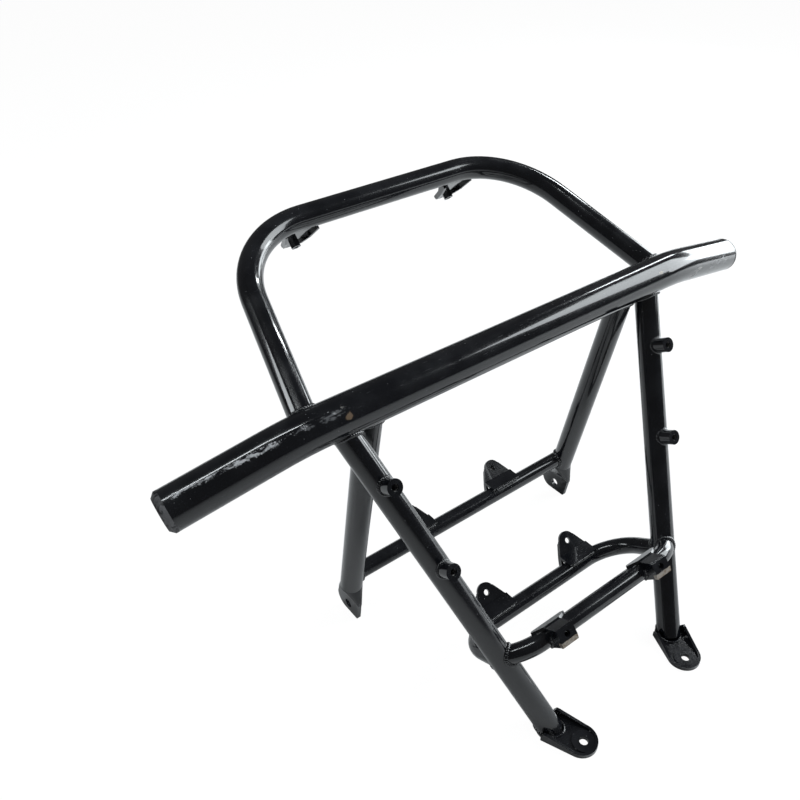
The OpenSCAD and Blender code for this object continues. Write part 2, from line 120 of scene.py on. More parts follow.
def seam_on_floor(branch: Rod, height: float, points: int = 120) -> np.ndarray:
    """The closed line where a rod's skin meets a level plane: p + s d at that height.

    Args:
        branch: The rod that ends on the plane.
        height: The plane's height in millimetres.
        points: How many points the line has.

    Returns:
        An array of points in millimetres.
    """
    turns = np.linspace(0, 2 * np.pi, points, endpoint=False)
    p = branch.skin(turns)
    return p + ((height - p[:, 2]) / branch.direction[2])[:, None] * branch.direction


def straight(start: Sequence[float], end: Sequence[float], points: int = 60) -> np.ndarray:
    """Points evenly spaced from start to end."""
    share = np.linspace(0, 1, points)[:, None]
    return (1 - share) * np.array(start, float) + share * np.array(end, float)


def resampled(path: np.ndarray, step: float, closed: bool) -> np.ndarray:
    """The line cut into even steps by its own length.

    Args:
        path: The line's points.
        step: The wanted spacing in millimetres.
        closed: Whether the last point joins the first.

    Returns:
        The new points, 8 or more.
    """
    fewest = 8
    line = np.vstack([path, path[:1]]) if closed else path
    along = np.concatenate([[0.0], np.cumsum(np.linalg.norm(np.diff(line, axis=0), axis=1))])
    count = max(fewest, int(round(along[-1] / step)))
    at = np.linspace(0, along[-1], count + (1 if closed else 0))
    at = at[:-1] if closed else at
    return np.stack([np.interp(at, along, line[:, k]) for k in range(3)], axis=1)


def add_mesh(name: str, points: np.ndarray, faces: Sequence[Sequence[int]]) -> bpy.types.Object:
    """A mesh object at the origin from points in millimetres.

    Args:
        name: The piece's name.
        points: An array of points.
        faces: Lists of point numbers, turned outwards.

    Returns:
        The new object, shaded smooth.
    """
    mesh = bpy.data.meshes.new(name)
    mesh.from_pydata((points * MM).tolist(), [], [list(map(int, f)) for f in faces])
    mesh.validate()
    mesh.shade_smooth()
    mesh.update()
    piece = bpy.data.objects.new(name, mesh)
    bpy.context.scene.collection.objects.link(piece)
    return piece


@dataclass
class Sweep:
    """A round section carried along a line, with a radius of its own at each point.

    The off-centre shift keeps the direction away from a line's middle from vanishing.
    """

    sides: int = 12
    off_centre: tuple[float, float, float] = (0.013, -0.017, 0.029)

    def surface(
        self, path: np.ndarray, radius: np.ndarray, closed: bool
    ) -> tuple[np.ndarray, list[list[int]]]:
        """Point (i, k) is path i + radius i (cos a_k normal i + sin a_k binormal i).

        The normal is the direction away from the line's middle, made square to the tangent, and
        the binormal is tangent x normal. An open line's ends are closed with one face each.

        Args:
            path: The line's points.
            radius: The radius at each point.
            closed: Whether the line closes on itself.

        Returns:
            The points and the faces.
        """
        count = len(path)
        ahead = np.roll(path, -1, axis=0) - np.roll(path, 1, axis=0)
        if not closed:
            ahead[0], ahead[-1] = path[1] - path[0], path[-1] - path[-2]
        tangent = unit(ahead)
        away = path - path.mean(axis=0) + np.array(self.off_centre)
        normal = unit(away - np.einsum("ij,ij->i", away, tangent)[:, None] * tangent)
        if not closed:
            lead = across(tangent[0])[0]
            normal = unit(lead - np.einsum("j,ij->i", lead, tangent)[:, None] * tangent)
        binormal = np.cross(tangent, normal)
        angle = np.linspace(0, 2 * np.pi, self.sides, endpoint=False)
        ring = np.cos(angle)[None, :, None] * normal[:, None, :]
        ring = ring + np.sin(angle)[None, :, None] * binormal[:, None, :]
        points = (path[:, None, :] + radius[:, None, None] * ring).reshape(-1, 3)
        i = np.arange(count if closed else count - 1)[:, None]
        k = np.arange(self.sides)[None, :]
        after, beside = (i + 1) % count, (k + 1) % self.sides
        quads = np.stack(
            [
                i * self.sides + k,
                i * self.sides + beside,
                after * self.sides + beside,
                after * self.sides + k,
            ],
            axis=-1,
        ).reshape(-1, 4)
        faces = quads.tolist()
        if not closed:
            faces.append(list(range(self.sides))[::-1])
            faces.append([(count - 1) * self.sides + n for n in range(self.sides)])
        return points, faces


@dataclass
class WeldBead:
    """A weld bead: a rounded rope with one ripple for each puddle of metal.

    Width is the rope's radius and ripple is a puddle's length, in millimetres. Slow waves make
    the width wander, and an open bead tapers over a length of taper x width.
    """

    width: float = 2.3
    ripple: float = 2.1
    depth: float = 0.10
    step: float = 0.4
    seed: int = 7
    slow_depth: float = 0.05
    slow_waves: tuple[int, ...] = (1, 3, 7)
    taper: float = 1.2

    def radii(self, length: float, count: int, closed: bool) -> np.ndarray:
        """width x (1 + depth (2 |cos(pi s / ripple)| - 1) + slow waves of random phase).

        Args:
            length: The line's length.
            count: How many radii.
            closed: Whether the line closes; an open line tapers at its ends.

        Returns:
            The radius at each point.
        """
        draw = np.random.default_rng(self.seed)
        share = np.arange(count) / (count if closed else count - 1)
        puddles = max(2, round(length / self.ripple))
        wave = 2 * np.abs(np.cos(np.pi * puddles * share)) - 1
        slow = sum(
            self.slow_depth * np.sin(2 * np.pi * (n * share + draw.random()))
            for n in self.slow_waves
        )
        radius = self.width * (1 + self.depth * wave + slow)
        if not closed:
            end = np.minimum(share, 1 - share) * length / (self.taper * self.width)
            tip_share = 0.01
            radius = radius * np.sqrt(np.clip(1 - (1 - np.minimum(end, 1)) ** 2, tip_share, 1))
        return radius

    def lay(self, name: str, path: np.ndarray, closed: bool = True) -> bpy.types.Object:
        """The bead along a line, as a finished piece.

        Args:
            name: The piece's name.
            path: The line's points in millimetres.
            closed: Whether the line closes on itself.

        Returns:
            The piece.
        """
        even = resampled(path, self.step, closed)
        length = self.step * len(even)
        radius = self.radii(length, len(even), closed)
        points, faces = Sweep().surface(even, radius, closed)
        return add_mesh(name, points, faces)


def helix(rod: Rod, pitch: float, length: float, per_turn: int = 28) -> np.ndarray:
    """A screw line: base + radius (cos t first + sin t second) + pitch t / (2 pi) direction.

    Args:
        rod: The bore's axis and the line's radius.
        pitch: How far the line climbs in one turn.
        length: How far it climbs in all.
        per_turn: Points in one turn.

    Returns:
        An array of points in millimetres.
    """
    count = int(per_turn * length / pitch) + 1
    turns = np.linspace(0, 2 * np.pi * length / pitch, count)
    return rod.skin(turns) + (pitch * turns / (2 * np.pi))[:, None] * rod.direction


# Materials


class Wire:
    """A socket with arithmetic: each operator adds one Math node."""

    def __init__(self, sheet: "ShaderSheet", socket: bpy.types.NodeSocket) -> None:
        """Keeps the sheet it belongs to and the socket."""
        self.sheet = sheet
        self.socket = socket

    def math(self, operation: str, *values: "Wire | float", clamp: bool = False) -> "Wire":
        """One Math node on this wire.

        Args:
            operation: The node's operation.
            *values: Up to two more values.
            clamp: Whether the result is held between 0 and 1.

        Returns:
            The node's result.
        """
        made = self.sheet.node(
            "ShaderNodeMath",
            {"operation": operation, "use_clamp": clamp},
            dict(enumerate((self, *values))),
        )
        return Wire(self.sheet, made.outputs[0])

    def __add__(self, other: "Wire | float") -> "Wire":
        """self + other."""
        return self.math("ADD", other)

    __radd__ = __add__

    def __sub__(self, other: "Wire | float") -> "Wire":
        """self - other."""
        return self.math("SUBTRACT", other)

    def __rsub__(self, other: "Wire | float") -> "Wire":
        """other - self."""
        return (self * -1.0) + other

    def __mul__(self, other: "Wire | float") -> "Wire":
        """self x other."""
        return self.math("MULTIPLY", other)

    __rmul__ = __mul__

    def __truediv__(self, other: "Wire | float") -> "Wire":
        """self / other."""
        return self.math("DIVIDE", other)

    def clamped(self) -> "Wire":
        """self held between 0 and 1."""
        return self.math("MULTIPLY", 1.0, clamp=True)

    def step(self, low: float, high: float) -> "Wire":
        """A smooth ramp from 0 at low to 1 at high.

        Args:
            low: Where the ramp starts.
            high: Where it ends.

        Returns:
            The ramp, flat on both sides.
        """
        made = self.sheet.node(
            "ShaderNodeMapRange",
            {"interpolation_type": "SMOOTHSTEP", "clamp": True},
            {"Value": self, "From Min": low, "From Max": high, "To Min": 0.0, "To Max": 1.0},
        )
        return Wire(self.sheet, made.outputs[0])


@dataclass(frozen=True)
class Grain:
    """A noise pattern: cells a metre, how many finer layers, and a stretch.

    Where an axis has a stretch below 1, the cells are longer that way.
    """

    scale: float
    detail: float = 2.0
    stretch: tuple[float, float, float] = (1.0, 1.0, 1.0)


class ShaderSheet:
    """One material's node tree, with its Principled shader ready."""

    def __init__(self, name: str) -> None:
        """A new material with an empty tree, a Principled shader and an output."""
        self.material = bpy.data.materials.new(name)
        self.material.use_nodes = True
        self.tree = self.material.node_tree
        self.tree.nodes.clear()
        self.shader = self.tree.nodes.new("ShaderNodeBsdfPrincipled")
        out = self.tree.nodes.new("ShaderNodeOutputMaterial")
        self.tree.links.new(self.shader.outputs["BSDF"], out.inputs["Surface"])
        self.place = self.node("ShaderNodeTexCoord", {}, {}).outputs["Object"]

    def node(self, kind: str, settings: dict, sockets: dict) -> bpy.types.Node:
        """One node.

        Args:
            kind: The node's type.
            settings: Its own settings, set first.
            sockets: Values, wires or sockets by the input's name or number.

        Returns:
            The node.
        """
        made = self.tree.nodes.new(kind)
        for key, value in settings.items():
            setattr(made, key, value)
        for key, value in sockets.items():
            if isinstance(value, Wire):
                value = value.socket
            if isinstance(value, bpy.types.NodeSocket):
                self.tree.links.new(value, made.inputs[key])
            else:
                made.inputs[key].default_value = value
        return made

    def noise(self, grain: Grain) -> Wire:
        """Noise on the object's own coordinates.

        Args:
            grain: The pattern.

        Returns:
            The noise, about 0 to 1.
        """
        even = grain.stretch == (1.0, 1.0, 1.0)
        where = self.place if even else self.stretched(grain.stretch)
        sockets = {"Vector": where, "Scale": grain.scale, "Detail": grain.detail}
        return Wire(self, self.node("ShaderNodeTexNoise", {}, sockets).outputs[0])

    def stretched(self, factors: Sequence[float]) -> bpy.types.NodeSocket:
        """The object's coordinates, each times its own factor."""
        made = self.node(
            "ShaderNodeVectorMath", {"operation": "MULTIPLY"}, {0: self.place, 1: tuple(factors)}
        )
        return made.outputs[0]

    def cells(self, scale: float) -> tuple[Wire, Wire]:
        """Scattered points.

        Args:
            scale: Points a metre along an axis.

        Returns:
            The distance to the nearest point, and a random value for each point.
        """
        made = self.node("ShaderNodeTexVoronoi", {}, {"Vector": self.place, "Scale": scale})
        split = self.node("ShaderNodeSeparateColor", {}, {0: made.outputs["Color"]})
        return Wire(self, made.outputs["Distance"]), Wire(self, split.outputs[0])

    def away_from(self, point: Sequence[float]) -> bpy.types.NodeSocket:
        """The way from a point in millimetres to the place on the surface, in metres."""
        made = self.node(
            "ShaderNodeVectorMath",
            {"operation": "SUBTRACT"},
            {0: self.place, 1: tuple(value * MM for value in point)},
        )
        return made.outputs[0]

    def reach(self, centre: Sequence[float], half: Sequence[float]) -> Wire:
        """Distance from a centre, each axis counted in its own half size.

        Args:
            centre: The centre in millimetres.
            half: The half size along each axis, in millimetres.

        Returns:
            0 at the centre, 1 on the ellipsoid with those half sizes.
        """
        scaled = self.node(
            "ShaderNodeVectorMath",
            {"operation": "MULTIPLY"},
            {0: self.away_from(centre), 1: tuple(1 / (size * MM) for size in half)},
        )
        made = self.node("ShaderNodeVectorMath", {"operation": "LENGTH"}, {0: scaled.outputs[0]})
        return Wire(self, made.outputs["Value"])

    def off_line(self, start: Sequence[float], end: Sequence[float]) -> tuple[Wire, Wire]:
        """Distance from a line and the share of the way along it.

        Args:
            start: The line's start in millimetres.
            end: Its end.

        Returns:
            The distance in millimetres, and the share: 0 at the start, 1 at the end.
        """
        way = np.array(end, float) - np.array(start, float)
        length = float(np.linalg.norm(way))
        cross = self.node(
            "ShaderNodeVectorMath",
            {"operation": "CROSS_PRODUCT"},
            {0: self.away_from(start), 1: tuple((way / length / MM).tolist())},
        )
        made = self.node("ShaderNodeVectorMath", {"operation": "LENGTH"}, {0: cross.outputs[0]})
        share = self.along((way / length).tolist(), start) * (1 / length)
        return Wire(self, made.outputs["Value"]), share

    def along(self, direction: Sequence[float], start: Sequence[float]) -> Wire:
        """How far a point lies along a direction.

        Args:
            direction: A unit vector.
            start: Where the distance is 0, in millimetres.

        Returns:
            The distance in millimetres.
        """
        made = self.node(
            "ShaderNodeVectorMath", {"operation": "DOT_PRODUCT"}, {0: self.place, 1: tuple(direction)}
        )
        offset = sum(d * s for d, s in zip(direction, start, strict=True))
        return Wire(self, made.outputs["Value"]) * (1 / MM) - offset

    def upward(self) -> Wire:
        """The height part of the surface's true normal.

        Returns:
            1 where the surface faces straight up, -1 where it faces down.
        """
        normal = self.node("ShaderNodeNewGeometry", {}, {}).outputs["True Normal"]
        split = self.node("ShaderNodeSeparateXYZ", {}, {0: normal})
        return Wire(self, split.outputs[2])

    def blend(
        self, share: Wire, low: "Sequence[float] | bpy.types.NodeSocket", high: Sequence[float]
    ) -> bpy.types.NodeSocket:
        """A colour between two.

        Args:
            share: How much of the high colour.
            low: The colour at share 0.
            high: The colour at share 1.

        Returns:
            The mixed colour.
        """
        first = low if isinstance(low, bpy.types.NodeSocket) else (*low, 1.0)
        made = self.node(
            "ShaderNodeMix",
            {"data_type": "RGBA", "clamp_factor": True},
            {0: share, 6: first, 7: (*high, 1.0)},
        )
        return made.outputs[2]

    def bump(self, height: Wire, distance: float) -> bpy.types.NodeSocket:
        """The normal that a Bump node gives for a height, with one unit of it in metres."""
        sockets = {"Height": height, "Distance": distance, "Strength": 1.0}
        return self.node("ShaderNodeBump", {}, sockets).outputs[0]

    def finish(
        self,
        colour: bpy.types.NodeSocket,
        roughness: "Wire | float",
        metallic: "Wire | float",
        coat: "Wire | float",
        normal: bpy.types.NodeSocket,
        coat_roughness: float = 0.05,
    ) -> bpy.types.Material:
        """Sets the shader's sockets.

        Args:
            colour: The base colour.
            roughness: The roughness.
            metallic: The share of bare metal.
            coat: The weight of the clear coat.
            normal: The bumped normal.
            coat_roughness: The coat's roughness, the same all over.

        Returns:
            The material.
        """
        wanted = {
            "Base Color": colour,
            "Roughness": roughness,
            "Metallic": metallic,
            "Coat Weight": coat,
            "Normal": normal,
        }
        for key, value in wanted.items():
            value = value.socket if isinstance(value, Wire) else value
            if isinstance(value, bpy.types.NodeSocket):
                self.tree.links.new(value, self.shader.inputs[key])
            else:
                self.shader.inputs[key].default_value = value
        self.shader.inputs["Coat Roughness"].default_value = coat_roughness
        return self.material


class Wear(Enum):
    """What a mark on the paint shows."""

    CHIP = "chip"
    SCUFF = "scuff"
    RUB = "rub"
    SMUDGE = "smudge"
    DENT = "dent"


@dataclass(frozen=True)
class Mark:
    """One worn place: its kind, centre and half sizes in millimetres, colour and strength."""

    kind: Wear
    centre: tuple[float, float, float]
    half: tuple[float, float, float]
    colour: tuple[float, float, float]
    strength: float = 1.0


@dataclass(frozen=True)
class RubbedHighlightStreak:
    """A rough, broken line of rubbed paint with a painted highlight along it, between two points, in
    millimetres.
    """

    start: tuple[float, float, float]
    end: tuple[float, float, float]
    half_width: float
    # near white: the painted highlight along the rubbed line
    colour: tuple[float, float, float] = (0.95, 0.97, 1.0)
    strength: float = 1.0


@dataclass
class Coat:
    """A paint as it is laid up: its colour, roughness, share of bare metal and height."""

    colour: bpy.types.NodeSocket
    rough: Wire
    height: Wire
    metal: "Wire | float" = 0.0


@dataclass(frozen=True)
class GlossBlackPaint:
    """Gloss black paint on steel, with orange peel, fine scratches, dust, specks, chips, and rubbed
    streaks with a painted highlight.

    A ramp is the pair of values between which a pattern goes from 0 to 1. A value that ends in
    rough is what a feature adds to the roughness. Heights are in units of bump_unit, in metres.
    """

    colour: tuple[float, float, float] = (0.006, 0.007, 0.010)
    roughness: float = 0.13
    coat_roughness: float = 0.04
    bump_unit: float = 0.00006
    peel: Grain = Grain(620, 1.0)
    peel_depth: float = 0.22
    patches: Grain = Grain(38, 4.0)
    patch_rough: float = 0.05

    dust: tuple[float, float, float] = (0.22, 0.23, 0.25)
    dust_grain: Grain = Grain(1500)
    dust_facing_ramp: tuple[float, float] = (-0.1, 0.9)
    dust_patch_ramp: tuple[float, float] = (0.35, 0.7)
    dusty: float = 0.07
    dust_rough: float = 0.9

    scratch: tuple[float, float, float] = (0.35, 0.36, 0.38)
    scratches: Grain = Grain(90, 5.0, (1.0, 14.0, 14.0))
    scratch_ramp: tuple[float, float] = (0.66, 0.74)
    scratch_share: float = 0.12
    scratch_rough: float = 0.18

    speck: tuple[float, float, float] = (0.42, 0.43, 0.44)
    speck_scale: float = 420.0
    speck_size: tuple[float, float] = (0.05, 0.21)
    speck_share: float = 0.045
    speck_soft: float = 0.01
    speck_ramp: tuple[float, float] = (0.6, 1.0)
    speck_strength: float = 0.55
    speck_rough: float = 0.4

    small_edge: Grain = Grain(260, 4.0)
    large_edge: Grain = Grain(120, 4.0)
    raggedness: float = 1.5
    edge_ramp: tuple[float, float] = (0.72, 1.0)
    rubbing: Grain = Grain(210, 5.0, (0.45, 1.5, 1.5))
    rubbing_ramp: tuple[float, float] = (0.47, 0.58)
    smudge_ramp: tuple[float, float] = (0.3, 1.0)
    smudge_rough: float = 0.12
    mark_rough: float = 0.35
    dent_depth: float = 26.0
    chip_depth: float = 2.0

    # The rubbed line: its core is coloured near white as a painted highlight, and it wanders, frays
    # and breaks.
    wander: Grain = Grain(75, 4.0, (1.0, 0.2, 0.2))
    fray: Grain = Grain(900, 4.0)
    fray_reach: float = 3.0
    core_share: float = 0.15
    breaks: Grain = Grain(240, 5.0, (0.5, 1.5, 1.5))
    break_ramp: tuple[float, float] = (0.42, 0.56)
    start_ramp: tuple[float, float] = (-0.02, 0.05)
    stop_ramp: tuple[float, float] = (0.95, 1.02)
    streak_rough: float = 0.2
    streak_height: float = 1.5

    steel: tuple[float, float, float] = (0.45, 0.40, 0.34)
    steel_rough: tuple[float, float] = (0.25, 0.35)
    steel_metal: float = 0.75
    rust: tuple[float, float, float] = (0.24, 0.15, 0.08)
    rust_grain: Grain = Grain(300, 4.0)
    rust_ramp: tuple[float, float] = (0.42, 0.62)
    rust_share: float = 0.75

    def specks(self, sheet: ShaderSheet) -> Wire:
        """Pale round specks on a few of a pattern's scattered points, each of its own size.

        Args:
            sheet: The material's sheet.

        Returns:
            1 on a speck, 0 elsewhere.
        """
        distance, chance = sheet.cells(self.speck_scale)
        smallest, largest = self.speck_size
        size = chance * (largest - smallest) + smallest
        chosen = chance.step(1 - self.speck_share, 1 - self.speck_share + self.speck_soft)
        return (1 - (distance / size).step(*self.speck_ramp)) * chosen

    def ground(self, sheet: ShaderSheet, specks: Wire) -> Coat:
        """The sound paint: peel, dust on what faces up, specks and scratches.

        Args:
            sheet: The material's sheet.
            specks: Where the specks are.

        Returns:
            The paint so far.
        """
        patches = sheet.noise(self.patches)
        scratches = sheet.noise(self.scratches).step(*self.scratch_ramp)
        settled = sheet.upward().step(*self.dust_facing_ramp) * patches.step(*self.dust_patch_ramp)
        dust = settled * (sheet.noise(self.dust_grain) * 0.5 + 0.5) * self.dusty
        colour = sheet.blend(dust, self.colour, self.dust)
        colour = sheet.blend(specks * self.speck_strength, colour, self.speck)
        colour = sheet.blend(scratches * self.scratch_share, colour, self.scratch)
        rough = self.roughness + dust * self.dust_rough + specks * self.speck_rough
        rough = rough + scratches * self.scratch_rough + patches * self.patch_rough
        return Coat(colour, rough, sheet.noise(self.peel) * self.peel_depth)

    def add_mark(self, sheet: ShaderSheet, coat: Coat, mark: Mark) -> None:
        """Lays one mark over the paint.

        A dent only lowers the height. A smudge has a soft edge, and the other kinds have a
        ragged one: the mark's own ellipsoid, moved in and out by noise.

        Args:
            sheet: The material's sheet.
            coat: The paint, which is changed.
            mark: The mark.
        """
        reach = sheet.reach(mark.centre, mark.half)
        if mark.kind is Wear.DENT:
            coat.height = coat.height - (1 - reach.step(0.0, 1.0)) * (self.dent_depth * mark.strength)
            return
        if mark.kind is Wear.SMUDGE:
            share = (1 - reach.step(*self.smudge_ramp)) * mark.strength
        else:
            ragged = sheet.noise(self.large_edge if mark.kind is Wear.SCUFF else self.small_edge)
            edge = reach + (ragged - 0.5) * self.raggedness
            share = (1 - edge.step(*self.edge_ramp)) * mark.strength
        if mark.kind is Wear.RUB:
            share = share * sheet.noise(self.rubbing).step(*self.rubbing_ramp)
        if mark.kind is Wear.CHIP:
            coat.height = coat.height - share * self.chip_depth
        coat.colour = sheet.blend(share, coat.colour, mark.colour)
        added = self.smudge_rough if mark.kind is Wear.SMUDGE else self.mark_rough
        coat.rough = coat.rough + share * added

    def add_rubbed_highlight(self, sheet: ShaderSheet, coat: Coat, streak: RubbedHighlightStreak) -> None:
        """Lays one streak over the paint: a line that wanders, frays and breaks, rubbed paint
        coloured near white as a painted highlight.

        Args:
            sheet: The material's sheet.
            coat: The paint, which is changed.
            streak: The streak.
        """
        half = streak.half_width
        off, share = sheet.off_line(streak.start, streak.end)
        wander = (sheet.noise(self.wander) - 0.5) * (self.fray_reach * half)
        ragged = (sheet.noise(self.fray) - 0.5) * (self.fray_reach * half)
        core = 1 - (off + wander + ragged).step(self.core_share * half, half)
        broken = sheet.noise(self.breaks).step(*self.break_ramp)
        ends = share.step(*self.start_ramp) * (1 - share.step(*self.stop_ramp))
        # rubbed paint that takes the streak's near-white colour: wear and a painted highlight
        # together
        rubbed = core * broken * ends * streak.strength
        coat.colour = sheet.blend(rubbed, coat.colour, streak.colour)
        coat.rough = coat.rough + rubbed * self.streak_rough
        coat.height = coat.height + rubbed * self.streak_height

    def add_bare(self, sheet: ShaderSheet, coat: Coat, share: Wire) -> None:
        """Bares the steel, with rust in patches.

        Args:
            sheet: The material's sheet.
            coat: The paint, which is changed.
            share: Where the steel is bare.
        """
        grime = sheet.noise(self.rust_grain)
        rusty = share * grime.step(*self.rust_ramp) * self.rust_share
        colour = sheet.blend(share, coat.colour, self.steel)
        coat.colour = sheet.blend(rusty, colour, self.rust)
        smooth, added = self.steel_rough
        coat.rough = coat.rough * (1 - share) + share * (grime * added + smooth)
        coat.metal = share * self.steel_metal

    def build(
        self,
        name: str,
        marks: Iterable[Mark] = (),
        streaks: Iterable[RubbedHighlightStreak] = (),
        bare: Optional[Callable[[ShaderSheet], Wire]] = None,
    ) -> bpy.types.Material:
        """The paint as a material.

        Args:
            name: The material's name.
            marks: Worn places to lay over the paint.
            streaks: Broken lines of rubbed paint, coloured near white as a painted highlight.
            bare: Gives the share of bare metal at a point, from the sheet.

        Returns:
            The material.
        """
        sheet = ShaderSheet(name)
        specks = self.specks(sheet)
        coat = self.ground(sheet, specks)
        for mark in marks:
            self.add_mark(sheet, coat, mark)
        for streak in streaks:
            self.add_rubbed_highlight(sheet, coat, streak)
        if bare is not None:
            self.add_bare(sheet, coat, bare(sheet))
        normal = sheet.bump(coat.height, self.bump_unit)
        clear = (1 - specks).clamped()
        return sheet.finish(
            coat.colour, coat.rough.clamped(), coat.metal, clear, normal, self.coat_roughness
        )


@dataclass(frozen=True)
class BlackPlastic:
    """Moulded black plastic, rubbed grey in patches and streaks."""

    colour: tuple[float, float, float] = (0.012, 0.012, 0.014)
    rubbed: tuple[float, float, float] = (0.20, 0.20, 0.21)
    roughness: float = 0.32
    rubbed_rough: float = 0.3
    grain: Grain = Grain(900, 3.0)
    grain_rough: float = 0.08
    bump_unit: float = 0.00012
    worn: float = 0.5
    patches: Grain = Grain(160, 5.0)
    patch_ramp: tuple[float, float] = (0.40, 0.70)
    patch_share: float = 0.7
    streaks: Grain = Grain(210, 4.0, (0.5, 2.5, 1.0))
    streak_ramp: tuple[float, float] = (0.56, 0.70)
    streak_share: float = 0.6
    edge: Grain = Grain(330, 4.0)
    raggedness: float = 1.8
    edge_ramp: tuple[float, float] = (0.6, 1.0)
    mark_rough: float = 0.2

    def build(self, name: str, marks: Iterable[Mark] = ()) -> bpy.types.Material:
        """The plastic as a material, with its scuffs.

        Args:
            name: The material's name.
            marks: Worn places to lay over it.

        Returns:
            The material.
        """
        sheet = ShaderSheet(name)
        patches = sheet.noise(self.patches).step(*self.patch_ramp) * self.patch_share
        streaks = sheet.noise(self.streaks).step(*self.streak_ramp) * self.streak_share
        share = ((patches + streaks) * self.worn).clamped()
        fine = sheet.noise(self.grain)
        colour = sheet.blend(share, self.colour, self.rubbed)
        rough = self.roughness + share * self.rubbed_rough + fine * self.grain_rough
        for mark in marks:
            ragged = (sheet.noise(self.edge) - 0.5) * self.raggedness
            edge = sheet.reach(mark.centre, mark.half) + ragged
            worn = (1 - edge.step(*self.edge_ramp)) * mark.strength
            colour = sheet.blend(worn, colour, mark.colour)
            rough = rough + worn * self.mark_rough
        normal = sheet.bump(fine + share, self.bump_unit)
        return sheet.finish(colour, rough.clamped(), 0.0, 0.0, normal)


@dataclass(frozen=True)
class WornThread:
    """Painted steel with its paint rubbed off in patches of the thread."""

    colour: tuple[float, float, float] = (0.05, 0.05, 0.055)
    steel: tuple[float, float, float] = (0.36, 0.35, 0.33)
    patches: Grain = Grain(700, 4.0)
    patch_ramp: tuple[float, float] = (0.42, 0.62)
    roughness: float = 0.3
    steel_rough: float = 0.15
    steel_metal: float = 0.8
    grain: Grain = Grain(2400)
    bump_unit: float = 0.00005

    def build(self, name: str) -> bpy.types.Material:
        """The finish as a material.

        Args:
            name: The material's name.

        Returns:
            The material.
        """
        sheet = ShaderSheet(name)
        share = sheet.noise(self.patches).step(*self.patch_ramp)
        colour = sheet.blend(share, self.colour, self.steel)
        rough = share * self.steel_rough + self.roughness
        normal = sheet.bump(sheet.noise(self.grain), self.bump_unit)
        return sheet.finish(colour, rough, share * self.steel_metal, 0.0, normal)


# The bumper


